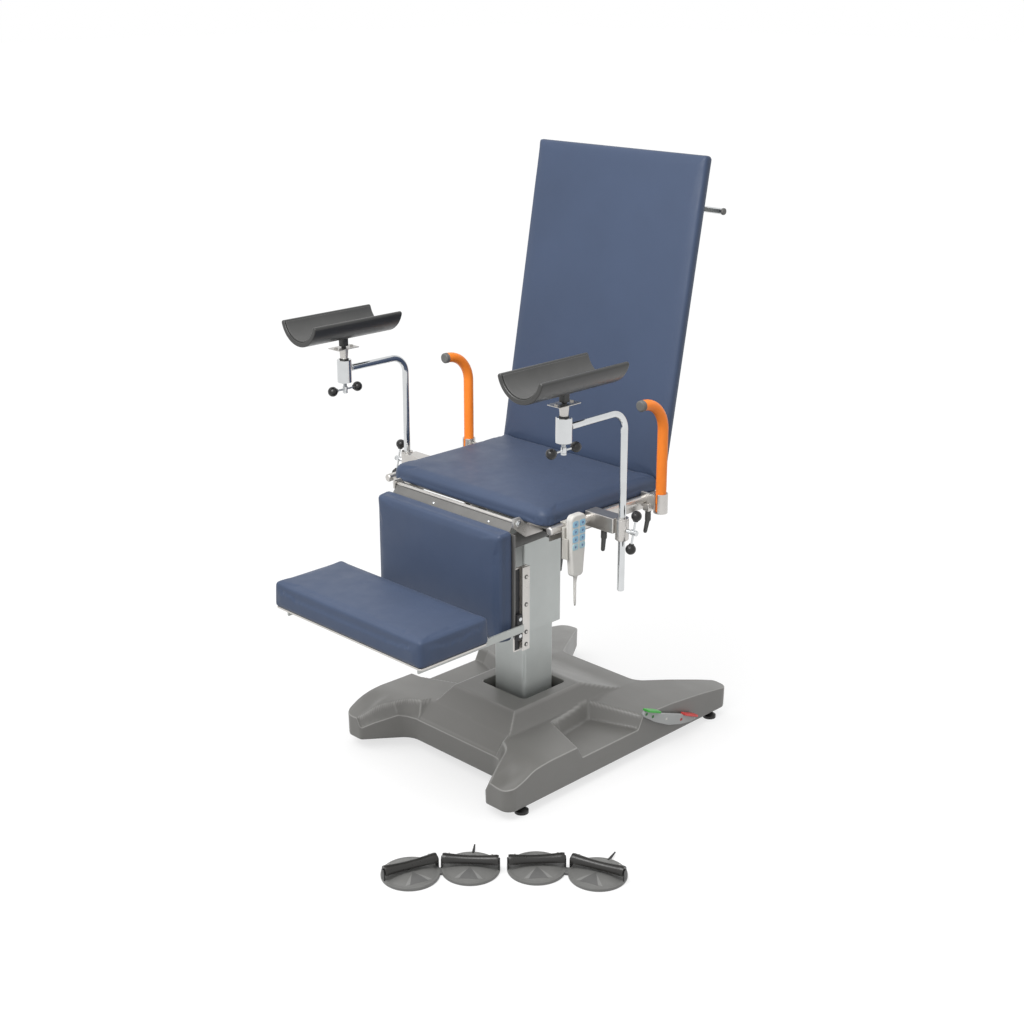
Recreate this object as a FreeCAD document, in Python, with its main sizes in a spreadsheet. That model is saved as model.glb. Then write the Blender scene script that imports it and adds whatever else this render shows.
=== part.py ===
import FreeCAD, Part
import math
import os
import Sketcher
from types import SimpleNamespace

Vec = FreeCAD.Vector

# Driving dimensions in millimetres and degrees.
# Frame: origin on the floor under the column axis, +Z up, the chair faces -Y, +X lies right in a front view.
SIZES = {
    # base
    "foot_gap": 28, "foot_radius": 19, "foot_stem": 7, "foot_pad": 8, "foot_flare": 9, "foot_in": 23,
    "foot_set_front": 70, "foot_set_rear": 57, "base_half": 310, "base_left": 352, "base_front": 368,
    "base_rear": 548, "base_wall": 6, "front_lip": 254, "rear_lip": 318, "left_leg_width": 68,
    "lip_left": 196, "left_tip_round": 26, "front_leg_width": 90, "rear_leg_width": 56, "lip_half": 172,
    "rear_lip_half": 145, "lip_round": 60, "tip_inner_round": 16, "tip_round": 40, "rear_round": 30,
    "rear_inner_round": 18, "rear_lip_round": 40, "tip_rise": 56, "rim_rise": 98, "lip_rise": 63,
    "rear_tip_rise": 62, "plateau_rise": 157, "plateau_half": 120, "plateau_front": 158,
    "plateau_rear": 104, "plateau_slope": 66, "plateau_tail": 150, "column_hole": 170, "dish_flat": 78,
    "dish_slope": 58, "rear_slope": 190, "shelf_in": 30, "shelf_past": 30, "tray_front": 87,
    "tray_rear": 148, "tray_inner": 168, "tray_flare": 20, "tray_pinch": 40, "tray_skew": 5, "beam": 30,
    "beam_gap": 2, "deck_thick": 10, "deck_half": 110, "cross_y": 200,
    # lifting column
    "lower_side": 117, "lower_wall": 6, "lower_top": 520, "slide_gap": 0.5, "upper_side": 148,
    "upper_bottom": 375, "upper_top": 700, "column_round": 9, "head_thick": 10, "head_half": 98,
    "motor_side": 84, "motor_tall": 56, "nut_tube": 18, "nut_floor": 8, "lift_rod_radius": 10,
    "lift_rod_bottom": 330, "bore_gap": 0.3, "tilt_rise": 19, "tilt_pin": 8, "tilt_edge": 6,
    "pin_past": 4, "ear_half": 80, "ear_thick": 8, "ear_deep": 26,
    # seat
    "seat_half": 297, "seat_front": 226, "seat_rear": 214, "seat_rise": 39, "seat_thick": 41,
    "seat_round": 36, "crown": 5, "draw_in": 4, "sheet": 4, "sheet_in": 10, "panel_tall": 33,
    "panel_thick": 3, "panel_in": 18, "cross_half": 16, "cross_at": 96, "cross_tall": 20,
    "rail_radius": 11, "rail_out": 10, "rail_drop": 4, "rail_front": 224, "rail_rear": 188, "box_in": 215,
    "box_out": 286, "box_front": 150, "box_rear": 40, "box_tall": 20, "hinge_ear": 6, "ear_edge": 12,
    "ear_root": 60, "hinge_gap": 1,
    # backrest
    "back_half": 300, "back_set": 8, "back_gap": 2, "back_long": 838, "back_thick": 50, "back_lean": 10,
    "back_round": 22, "back_pin": 6, "back_sleeve": 10, "back_hinge_out": 22, "back_hinge_drop": 12,
    "stile_x": 190, "stile_wide": 26, "stile_deep": 24, "stile_in": 60, "pan_thick": 3, "pan_in": 15,
    "bar_radius": 8, "bar_half": 314, "bar_down": 136, "cap_long": 12, "cap_over": 1,
    # leg section
    "leg_hinge_out": 32, "leg_hinge_rise": 8, "hinge_radius": 5, "nut_over": 4, "nut_thick": 7,
    "nut_tail": 10, "knuckle": 9, "knuckle_half": 222, "leg_half": 233, "leg_set": 24, "leg_thick": 41,
    "leg_drop": 15, "leg_tall": 298, "plate_up": 14, "leg_round": 16, "leg_plate_half": 246,
    "plate_top": 8, "hang_out": 5, "hang_down": 2, "flange_x": 240, "guide_gap": 6, "guide_reach": 329,
    "guide_long": 229, "guide_wide": 26, "guide_back": 24, "bolt_radius": 5, "bolt_head": 3.5,
    "spacer_radius": 7,
    # knee rest on the leg section
    "foot_half": 287, "rest_gap": 86, "rest_deep": 231, "rest_rise": 82, "rest_thick": 70,
    "rest_round": 14, "tray_thick": 6, "tray_in": 4, "arm_thick": 6, "arm_tall": 20, "arm_gap": 1,
    "arm_in": 20, "arm_lap": 2, "slider_rise": 34, "slider_tall": 70,
    # leg holders
    "post_out": 100, "post_y": 62, "post_radius": 8, "post_tail": 174, "post_rise": 300, "bend": 48,
    "arm_reach": 218, "clamp_half_x": 17, "clamp_half_y": 21, "clamp_drop": 36, "clamp_rise": 18,
    "bracket_half": 20, "arm_gap_seat": 1.2, "bush_wall": 4, "bush_past": 3, "flange_tall": 4,
    "flange_over": 4, "socket_radius": 20, "socket_drop": 36, "socket_rise": 27, "socket_floor": 10,
    "stem_radius": 10, "stem_tall": 31, "stem_flare": 4, "plate_half_x": 22, "plate_half_y": 37,
    "plate_thick": 2, "tongue_half": 6, "tongue_round": 9, "tongue_rise": 17, "trough_pin": 3,
    "block_half": 20, "block_deep": 11, "shell_radius": 75, "shell_wall": 12, "shell_ahead": 150,
    "shell_behind": 140, "shell_drop": 8, "shell_slant": 34, "shell_sink": 4, "screw_radius": 7,
    "screw_tail": 5, "screw_tip": 8, "screw_gap": 6, "screw_clear": 1, "tommy_radius": 3,
    "ball_radius": 13.5, "tommy_half": 36, "clamp_turn": 13,
    # hand grips and clamp levers
    "grip_out": 57, "grip_y": 140, "grip_radius": 14, "sleeve_drop": 25, "sleeve_rise": 29,
    "sleeve_wall": 4.5, "sleeve_floor": 4, "grip_bend": 80, "grip_rise": 281, "grip_reach": 82,
    "grip_cap": 13, "cap_lip": 0.6, "arm_plate": 9, "lever_out": 40, "lever_hub": 8, "lever_tall": 30,
    "lever_long": 38, "lever_turn": 160, "lever_taper": 2, "stud_radius": 4, "stud_long": 18,
    "boss_half": 11, "boss_drop": 8, "boss_tall": 20,
    # brake pedal
    "pedal_gap": 7, "pedal_thick": 8, "pedal_y": 258, "pedal_z": 92, "pedal_half": 134, "pedal_belly": 30,
    "pedal_crest": 12, "pedal_edge": 9, "pedal_tilt": 22.6, "pedal_shaft": 8, "pedal_clear": 1,
    "pad_long": 62, "pad_wide": 24, "pad_tall": 6, "pad_inset": 12, "pad_lap": 4,
    # handset and its cord
    "handset_y": 158, "handset_rise": 39, "handset_tall": 165, "handset_half": 27, "handset_thick": 24,
    "handset_out": 20, "hand_taper": 0.7, "hand_waist": 0.94, "hand_waist_at": 0.42, "hand_low_round": 11,
    "hand_side_round": 40, "hand_top_round": 15, "key_wide": 17, "key_tall": 13, "key_rise": 1.4,
    "key_gap": 4, "key_step": 19, "key_down": 24, "relief_tall": 36, "relief_tip": 0.8, "relief_root": 4,
    "cord_radius": 2.25, "cradle_half": 32, "cradle_drop": 78, "cradle_rise": 6, "cradle_ring": 4,
    "ring_half": 16, "ear_wall": 4, "ear_top": 22,
    # foot switches
    "disc_radius": 73, "disc_rim": 9, "disc_dome": 8, "dome_in": 4, "dome_radius": 40,
    "bar_half_long": 62, "rocker_half": 15, "rocker_low": 21, "rocker_side": 8, "rocker_tall": 24,
    "rocker_axis": 26, "upright_wide": 8, "upright_half": 9, "upright_over": 8, "upright_sink": 2,
    "stub_radius": 2.5, "stub_long": 10, "stub_gap": 0.2, "link_long": 40, "link_wide": 26,
    "link_tall": 8, "gland_long": 42, "gland_root": 5, "gland_tip": 2.6, "gland_z": 6, "gland_lap": 8,
    # linear drives
    "tube_radius": 19, "drive_radius": 26, "drive_long": 90, "rod_radius": 9, "eye_radius": 13,
    "eye_half": 10, "neck_long": 22, "neck_half": 9, "lug_thick": 5, "lug_gap": 0.4, "actuator_x": 135,
    "drive_drop": 76, "back_drive_y": 70, "back_lever_out": 18, "back_tube": 222, "back_rod_in": 198,
    "leg_drive_y": 64, "leg_lever_in": 15, "leg_lever_drop": 96, "leg_tube": 288, "leg_rod_in": 120,
    "tilt_drive_out": 38, "tilt_drive_drop": 230, "tilt_lever_out": 76, "tilt_lever_drop": 13,
    "tilt_tube": 204, "tilt_rod_in": 140,
}

# Cushion section: share of the side's height, and how far the edge lies inside the widest line.
PAD_SECTION = ((0, 7), (0.16, 1.5), (0.5, 0), (0.78, 2), (0.94, 8), (1, 18))

# Bolts along a guide strip, as shares of its length.
GUIDE_BOLTS = (0.07, 0.22, 0.55, 0.88)

# Foot switches: centre of each disc and the direction of its rocker bar, from +X.
FOOT_SWITCHES = {
    "foot_switch_left": (("rocker_1", 310, -707, 71), ("rocker_2", 397, -587, 41)),
    "foot_switch_right": (("rocker_3", 510, -471, 49), ("rocker_4", 635, -385, 19)),
}

# Handset cord, from the strain relief down, round and up into the control box.
CORD_ROUTE = (
    (339, -158, 606), (339, -158, 588), (337, -156, 569), (327, -146, 553), (309, -128, 546),
    (290, -109, 554), (279, -98, 575), (276, -95, 612), (277.5, -96.5, 668), (277.5, -96.5, 728),
)

doc = FreeCAD.newDocument("ExamChair")
sheet = doc.addObject("Spreadsheet::Sheet", "Sizes")
for row, (alias, number) in enumerate(SIZES.items(), start=1):
    sheet.set(f"A{row}", alias)
    sheet.set(f"B{row}", str(number))
    sheet.setAlias(f"B{row}", alias)
doc.recompute()


class Length:
    # a number together with the expression that gives it from the sheet's cells
    def __init__(self, text, number):
        self.text = text
        self.number = number

    def __float__(self):
        return self.number

    def __add__(self, other):
        other = length(other)
        return Length(f"({self.text} + {other.text})", self.number + other.number)

    def __sub__(self, other):
        other = length(other)
        return Length(f"({self.text} - {other.text})", self.number - other.number)

    def __mul__(self, other):
        other = length(other)
        return Length(f"({self.text} * {other.text})", self.number * other.number)

    def __truediv__(self, other):
        other = length(other)
        return Length(f"({self.text} / {other.text})", self.number / other.number)

    def __neg__(self):
        return self * -1

    def __radd__(self, other):
        return length(other) + self

    def __rsub__(self, other):
        return length(other) - self

    def __rmul__(self, other):
        return length(other) * self


def length(thing):
    if isinstance(thing, Length):
        return thing
    return Length(f"({float(thing)})", float(thing))


cells = {alias: Length(f"Sizes.{alias}", float(getattr(sheet, alias))) for alias in SIZES}
dim = SimpleNamespace(**cells)
nodes = []
past = 1    # how far a cutting tool runs past what it cuts
SIDES = (("left", -1), ("right", 1))


def bind(thing, **lengths):
    for prop, amount in lengths.items():
        thing.setExpression(prop, length(amount).text)
    return thing


def put(thing, x, y, z):
    for axis, amount in zip("xyz", (x, y, z)):
        thing.setExpression(f"Placement.Base.{axis}", length(amount).text)
    return thing


def span(middle, half):
    return middle - half, middle + half


def mirrored(side, low, high):
    return (low, high) if side > 0 else (-high, -low)


def box(x, y, z):
    # a block between a low and a high bound on each axis
    block = doc.addObject("Part::Box", "Block")
    bind(block, Length=x[1] - x[0], Width=y[1] - y[0], Height=z[1] - z[0])
    return put(block, x[0], y[0], z[0])


def rod(axis, radius, reach, first, second):
    # a round bar along one axis, with its centre on the other two
    bar = doc.addObject("Part::Cylinder", "Bar")
    bind(bar, Radius=radius, Height=reach[1] - reach[0])
    if axis == "X":
        bar.Placement.Rotation = FreeCAD.Rotation(Vec(0, 1, 0), 90)
        return put(bar, reach[0], first, second)
    if axis == "Y":
        bar.Placement.Rotation = FreeCAD.Rotation(Vec(1, 0, 0), -90)
        return put(bar, first, reach[0], second)
    return put(bar, first, second, reach[0])


def cone(low_radius, high_radius, reach, x, y):
    taper = doc.addObject("Part::Cone", "Taper")
    bind(taper, Radius1=low_radius, Radius2=high_radius, Height=reach[1] - reach[0])
    return put(taper, x, y, reach[0])


def fuse(*things):
    joined = doc.addObject("Part::MultiFuse", "Join")
    joined.Shapes = list(things)
    return joined


def cut(base, *tools):
    rest = doc.addObject("Part::Cut", "Cut")
    rest.Base = base
    rest.Tool = tools[0] if len(tools) == 1 else fuse(*tools)
    return rest


def group(*things):
    set_of = doc.addObject("Part::Compound", "Group")
    set_of.Links = list(things)
    return set_of


def shaped(shape, placement=None):
    thing = doc.addObject("Part::Feature", "Formed")
    thing.Shape = shape
    if placement:
        thing.Placement = placement
    return thing


def node(label, thing):
    thing.Label = label
    nodes.append(thing)
    return thing


def prism(points, direction):
    # a straight-sided block from a closed outline
    outline = Part.makePolygon([Vec(*point) for point in (*points, points[0])])
    return Part.Face(outline).extrude(Vec(*direction))


def side_prism(x, thick, outline):
    # a plate of that thickness from an outline in the side view
    return prism([(x, y, z) for y, z in outline], (thick, 0, 0))


def square_tube(label, side, inner, low, high):
    # column profile: a padded square ring with rounded outer edges
    body = doc.addObject("PartDesign::Body", f"{label}_body")
    plane = next(item for item in body.Origin.OriginFeatures if item.Role == "XY_Plane")
    sketch = body.newObject("Sketcher::SketchObject", f"{label}_ring")
    sketch.AttachmentSupport = [(plane, "")]
    sketch.MapMode = "FlatFace"
    for loop, (word, across) in enumerate((("outer", side), ("inner", inner))):
        half = float(across) / 2
        corners = [Vec(-half, -half), Vec(half, -half), Vec(half, half), Vec(-half, half)]
        first = 4 * loop
        for index in range(4):
            sketch.addGeometry(Part.LineSegment(corners[index], corners[(index + 1) % 4]), False)
        for index in range(4):
            here = first + index
            sketch.addConstraint(Sketcher.Constraint("Coincident", here, 2, first + (index + 1) % 4, 1))
            sketch.addConstraint(Sketcher.Constraint("Vertical" if index % 2 else "Horizontal", here))
        sketch.addConstraint(Sketcher.Constraint("Symmetric", first, 1, first + 2, 1, -1, 1))
        for edge, way in ((first, "DistanceX"), (first + 1, "DistanceY")):
            number = sketch.addConstraint(Sketcher.Constraint(way, edge, 1, edge, 2, 2 * half))
            sketch.renameConstraint(number, f"{word}_{way}")
            sketch.setExpression(f"Constraints.{word}_{way}", across.text)
    pad = body.newObject("PartDesign::Pad", f"{label}_pad")
    pad.Profile = sketch
    bind(pad, Length=high - low)
    doc.recompute()
    reach = float(side) / 2
    names = []
    for number, edge in enumerate(pad.Shape.Edges, start=1):
        middle = edge.CenterOfMass
        if abs(abs(middle.x) - reach) < 1e-6 and abs(abs(middle.y) - reach) < 1e-6:
            names.append(f"Edge{number}")
    rounding = body.newObject("PartDesign::Fillet", f"{label}_round")
    rounding.Base = (pad, names)
    bind(rounding, Radius=dim.column_round)
    put(body, 0, 0, low)
    return node(label, body)


def soft_outline(half_x, half_y, corner, z, inset):
    # rounded rectangle whose four sides bow inwards, as one closed wire
    draw = float(dim.draw_in)
    reach_x = half_x - inset
    reach_y = half_y - inset
    turn = max(corner - inset / 2, draw / 2)
    slant = turn * (1 - math.sqrt(0.5))
    wire = []
    for quarter in range(4):
        along, across = (reach_x, reach_y) if quarter % 2 == 0 else (reach_y, reach_x)
        points = [
            Vec(-along + turn, -across), Vec(0, -across + draw), Vec(along - turn, -across),
            Vec(along - slant, -across + slant), Vec(along, -across + turn),
        ]
        turned = FreeCAD.Rotation(Vec(0, 0, 1), 90 * quarter)
        bent = [turned.multVec(point) + Vec(0, 0, z) for point in points]
        wire.append(Part.Arc(bent[0], bent[1], bent[2]).toShape())
        wire.append(Part.Arc(bent[2], bent[3], bent[4]).toShape())
    return Part.Wire(wire)


def cushion(half_x, half_y, thick, corner):
    # crowned pad lying on z = 0: drawn-in sides, rolled edges and a top that rises to the middle
    half_x, half_y, thick, corner = (float(amount) for amount in (half_x, half_y, thick, corner))
    crown = float(dim.crown)
    edge = thick - crown
    rings = [soft_outline(half_x, half_y, corner, share * edge, inset) for share, inset in PAD_SECTION]
    rolled = PAD_SECTION[-1][1]
    dome = min(half_x, half_y) / 2
    for share, rise in ((0.35, 0.7), (1, 1)):
        rings.append(soft_outline(half_x, half_y, dome, edge + rise * crown, rolled + share * dome))
    return Part.makeLoft(rings, True, True)


def bent_tube(points, radius, bend=None):
    # round bar along straight runs joined by tangent arcs, as large as the runs allow when no bend is given
    path = []
    radii = []
    stops = [Vec(*point) for point in points]
    here = stops[0]
    for before, corner, after in zip(stops, stops[1:], stops[2:]):
        back = (before - corner).normalize()
        ahead = (after - corner).normalize()
        half = back.getAngle(ahead) / 2
        shorter = min(before.distanceToPoint(corner), after.distanceToPoint(corner))
        turn = float(bend) if bend else 0.45 * shorter * math.tan(half)
        reach = turn / math.tan(half)
        inward = (back + ahead).normalize()
        start = corner + back * reach
        end = corner + ahead * reach
        middle = corner + inward * (turn / math.sin(half) - turn)
        path.append(Part.LineSegment(here, start).toShape())
        path.append(Part.Arc(start, middle, end).toShape())
        radii.append(turn)
        here = end
    path.append(Part.LineSegment(here, stops[-1]).toShape())
    spine = Part.Wire(path)
    ring = Part.Wire([Part.Circle(stops[0], stops[1] - stops[0], float(radius)).toShape()])
    return spine.makePipeShell([ring], True, True), spine.Length, radii


def rounded_wire(corners, lift):
    # closed outline of straight sides and corner arcs; a corner is (u, v, radius), and lift sets it in space
    path = []
    tangents = []
    corners = [[float(amount) for amount in corner] for corner in corners]
    for index, (u, v, radius) in enumerate(corners):
        corner = Vec(u, v)
        back = (Vec(*corners[index - 1][:2]) - corner).normalize()
        ahead = (Vec(*corners[(index + 1) % len(corners)][:2]) - corner).normalize()
        half = back.getAngle(ahead) / 2
        reach = radius / math.tan(half)
        inward = (back + ahead).normalize()
        middle = corner + inward * (radius / math.sin(half) - radius)
        tangents.append((corner + back * reach, middle, corner + ahead * reach))
    for index, (start, middle, end) in enumerate(tangents):
        following = tangents[(index + 1) % len(tangents)][0]
        path.append(Part.Arc(lift(start), lift(middle), lift(end)).toShape())
        path.append(Part.LineSegment(lift(end), lift(following)).toShape())
    return Part.Wire(path)


def loop_at(points, z):
    return Part.makePolygon([Vec(x, y, z) for x, y in (*points, points[0])])


def tilted(y, z, degrees):
    # a placement turned about the X axis through a point of the side view
    return FreeCAD.Placement(Vec(0, y, z), FreeCAD.Rotation(Vec(1, 0, 0), float(degrees)))


# Heights and places that several pieces share, from the floor up.
foot_x = dim.base_half - dim.foot_in
foot_front = dim.base_front - dim.foot_set_front
foot_rear = dim.base_rear - dim.foot_set_rear
beam_low = dim.foot_gap + dim.beam_gap
beam_top = beam_low + dim.beam
deck_top = beam_top + dim.deck_thick
beam_out = dim.base_half - dim.base_wall - dim.bore_gap
beam_in = beam_out - dim.beam
left_more = dim.base_left - dim.base_half
head_top = dim.upper_top + dim.head_thick
tilt_z = head_top + dim.tilt_rise
ear_out = dim.ear_half + dim.ear_thick
sheet_low = tilt_z + dim.seat_rise
seat_low = sheet_low + dim.sheet
panel_low = sheet_low - dim.panel_tall
cross_low = sheet_low - dim.cross_tall
rail_x = dim.seat_half + dim.rail_out
rail_z = seat_low - dim.rail_drop
rail_bore = dim.rail_radius + dim.bore_gap
drive_z = sheet_low - dim.drive_drop
leg_axis_y = dim.seat_front + dim.leg_hinge_out
leg_axis_z = seat_low + dim.leg_hinge_rise
back_axis_y = dim.seat_rear + dim.back_hinge_out
back_axis_z = sheet_low - dim.back_hinge_drop
leg_back = leg_axis_y + dim.leg_set
leg_high = leg_axis_z - dim.leg_drop
guide_low = leg_high - dim.guide_reach
guide_high = guide_low + dim.guide_long
back_lever = (back_axis_y + dim.back_lever_out, drive_z)
leg_lever = (-leg_axis_y + dim.leg_lever_in, leg_axis_z - dim.leg_lever_drop)
tilt_base = (dim.upper_side / 2 + dim.tilt_drive_out, dim.upper_top - dim.tilt_drive_drop)
tilt_lever = (dim.upper_side / 2 + dim.tilt_lever_out, tilt_z - dim.tilt_lever_drop)


def lug_pair(x, y, z):
    # two plates that hold a drive's eye between them, given their outline in y and z
    inner = dim.eye_half + dim.lug_gap
    outer = inner + dim.lug_thick
    return [box((x + inner, x + outer), y, z), box((x - outer, x - inner), y, z)]


def actuator(name, x, base, tip, tube_end, rod_start):
    # linear drive in the side view: a housing with a rear eye, and a rod with a front eye
    run = Vec(0, *tip) - Vec(0, *base)
    place = FreeCAD.Placement(Vec(x, *base), FreeCAD.Rotation(Vec(0, 1, 0), run))
    ahead = Vec(0, 1, 0)
    across = Vec(1, 0, 0)
    eye = dim.eye_half
    neck = dim.neck_half
    joint = dim.neck_long + dim.drive_long
    rear_eye = Part.makeCylinder(dim.eye_radius, 2 * eye, Vec(-eye, 0, 0), across)
    housing = rear_eye.fuse([
        Part.makeBox(2 * eye, dim.neck_long + past, 2 * neck, Vec(-eye, 0, -neck)),
        Part.makeCylinder(dim.drive_radius, dim.drive_long, Vec(0, dim.neck_long, 0), ahead),
        Part.makeCylinder(dim.tube_radius, tube_end - joint, Vec(0, joint, 0), ahead),
    ])
    bore = Part.makeCylinder(dim.rod_radius + dim.bore_gap, tube_end, Vec(0, joint, 0), ahead)
    rod_bar = Part.makeCylinder(dim.rod_radius, run.Length - rod_start, Vec(0, rod_start, 0), ahead)
    rod_eye = Part.makeCylinder(dim.eye_radius, 2 * eye, Vec(-eye, run.Length, 0), across)
    node(f"{name}_actuator", shaped(housing.cut(bore), place))
    node(f"{name}_rod", shaped(rod_bar.fuse(rod_eye), place))


def base_form(wall):
    # base moulding, or its cavity when a wall is given: legs under a sloping rim, a plateau and toe recesses
    low = dim.foot_gap - wall
    half = dim.base_half - wall
    front = dim.base_front - wall
    rear = dim.base_rear - wall
    lip = dim.front_lip - wall
    left_half = dim.base_left - wall
    edges = []
    for out, lip_out, leg, tip_round in (
            (half, dim.lip_half, dim.front_leg_width, dim.tip_round),
            (left_half, dim.lip_left, dim.left_leg_width, dim.left_tip_round)):
        edges.append([
            (lip_out + wall, -lip, dim.lip_round), (out - leg + 2 * wall, -front, dim.tip_inner_round),
            (out, -front, tip_round - wall), (out, rear, dim.rear_round - wall),
            (out - dim.rear_leg_width + 2 * wall, rear, dim.rear_inner_round - wall),
            (dim.rear_lip_half + wall, dim.rear_lip - wall, dim.rear_lip_round),
        ])
    right = edges[0]
    left = [(-u, v, radius) for u, v, radius in reversed(edges[1])]
    plan = Part.Face(rounded_wire(right + left, lambda flat: Vec(flat.x, flat.y, low)))
    ceiling = dim.foot_gap - wall
    top = ceiling + dim.plateau_rise
    rim = ceiling + dim.rim_rise
    tip = ceiling + dim.tip_rise
    lip_top = ceiling + dim.lip_rise
    dish = dim.base_front - dim.dish_flat
    side_view = [
        (-front - past, low), (rear + past, low), (rear + past, ceiling + dim.rear_tip_rise),
        (dim.rear_slope, rim), (-dish + dim.dish_slope, rim), (-dish, tip), (-front - past, tip),
    ]
    legs = plan.extrude(Vec(0, 0, top - low)).common(side_prism(-left_half, left_half + half, side_view))
    rings = []
    for out, back, z in ((0, 0, top), (dim.plateau_slope, dim.plateau_tail, rim)):
        x = dim.plateau_half - wall + out
        near = wall - dim.plateau_front - out
        far = dim.plateau_rear - wall + back
        rings.append(loop_at([(-x, near), (x, near), (x, far), (-x, far)], z))
    form = legs.fuse(Part.makeLoft(rings, True, True))
    shelf = dim.lip_half - dim.shelf_in + wall
    ledge = wall - dim.plateau_front
    fall = -lip - dim.shelf_past
    slope = [(ledge, top), (fall, lip_top - dim.shelf_past), (fall, 2 * top), (ledge, 2 * top)]
    form = form.cut(side_prism(-shelf, 2 * shelf, slope))
    for side, reach in ((-1, left_half), (1, half)):
        rings = []
        for step in range(3):
            out = wall + step * dim.tray_flare
            inner = side * (dim.tray_inner - out)
            outer = side * (reach + dim.tray_pinch)
            near = -dim.tray_front - out
            far = dim.tray_rear + out
            rings.append(loop_at([
                (inner, near + dim.tray_pinch), (outer, near - dim.tray_skew),
                (outer, far + dim.tray_skew), (inner, far - dim.tray_pinch),
            ], lip_top + step * (rim - lip_top)))
        form = form.cut(Part.makeLoft(rings, True, True))
    return form.removeSplitter()


# Base: moulded cover, welded frame and screw feet.
cover = shaped(base_form(0).cut(base_form(float(dim.base_wall))))
shaft_hole = rod("X", dim.pedal_shaft + dim.pedal_clear, (beam_out, dim.base_half + past),
                 dim.pedal_y, dim.pedal_z)
hole = span(0, dim.column_hole / 2)
column_hole = box(hole, hole, (dim.foot_gap, dim.foot_gap + 2 * dim.plateau_rise))
node("base_cover", cut(cover, column_hole, shaft_hole))

frame_parts = [
    box(span(0, dim.deck_half), span(0, dim.cross_y + dim.beam / 2), (beam_top, deck_top)),
    box((beam_in, beam_out), span(dim.pedal_y, dim.beam / 2), (beam_top, dim.pedal_z + 2 * dim.pedal_shaft)),
]
for _, sign in SIDES:
    more = left_more if sign < 0 else 0 * left_more
    frame_parts.append(box(mirrored(sign, beam_in + more, beam_out + more),
                           (dim.tip_round - dim.base_front, foot_rear + dim.beam), (beam_low, beam_top)))
    frame_parts.append(box((-beam_in - left_more, beam_in), span(sign * dim.cross_y, dim.beam / 2),
                           (beam_low, beam_top)))
bearing = rod("X", dim.pedal_shaft + dim.bore_gap, (beam_in - past, beam_out + past),
              dim.pedal_y, dim.pedal_z)
node("base_frame", cut(fuse(*frame_parts), bearing))

feet = []
flare_top = dim.foot_pad + dim.foot_flare
for x in (-foot_x - left_more, foot_x):
    for y in (-foot_front, foot_rear):
        pad = rod("Z", dim.foot_radius, (0 * dim.foot_pad, dim.foot_pad), x, y)
        flare = cone(dim.foot_radius, dim.foot_stem, (dim.foot_pad, flare_top), x, y)
        feet.append(fuse(pad, flare, rod("Z", dim.foot_stem, (flare_top, beam_low), x, y)))
node("levelling_feet", group(*feet))

# Lifting column: a fixed lower profile, a sliding upper profile and the spindle drive inside.
square_tube("column_lower", dim.lower_side, dim.lower_side - 2 * dim.lower_wall, deck_top, dim.lower_top)
square_tube("column_upper", dim.upper_side, dim.lower_side + 2 * dim.slide_gap,
            dim.upper_bottom, dim.upper_top)
motor_top = deck_top + dim.motor_tall
motor = box(span(0, dim.motor_side / 2), span(0, dim.motor_side / 2), (deck_top, motor_top))
nut_tube = rod("Z", dim.nut_tube, (motor_top, dim.lower_top), 0, 0)
nut_bore = rod("Z", dim.lift_rod_radius + dim.bore_gap,
               (motor_top + dim.nut_floor, dim.lower_top + past), 0, 0)
node("lift_drive", cut(fuse(motor, nut_tube), nut_bore))
node("lift_rod", rod("Z", dim.lift_rod_radius, (dim.lift_rod_bottom, dim.upper_top), 0, 0))

back_face = dim.upper_side / 2 + dim.bore_gap
back_plate = (back_face, back_face + dim.ear_thick)
head_parts = [
    box(span(0, dim.head_half), (-dim.upper_side / 2, back_plate[1]), (dim.upper_top, head_top)),
    box(span(0, dim.ear_deep), back_plate, (tilt_base[1] - dim.ear_deep, dim.upper_top)),
]
for _, sign in SIDES:
    head_parts.append(box(mirrored(sign, dim.ear_half, ear_out), span(0, dim.ear_deep),
                          (head_top, tilt_z + 2 * dim.tilt_pin)))
head_parts += lug_pair(0, (back_face, tilt_base[0] + dim.eye_radius), span(tilt_base[1], dim.eye_radius))
pin_bore = rod("X", dim.tilt_pin + dim.bore_gap, span(0, dim.head_half), 0, tilt_z)
node("column_head", cut(fuse(*head_parts), pin_bore))
actuator("tilt", 0, tilt_base, tilt_lever, dim.tilt_tube, dim.tilt_rod_in)

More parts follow.
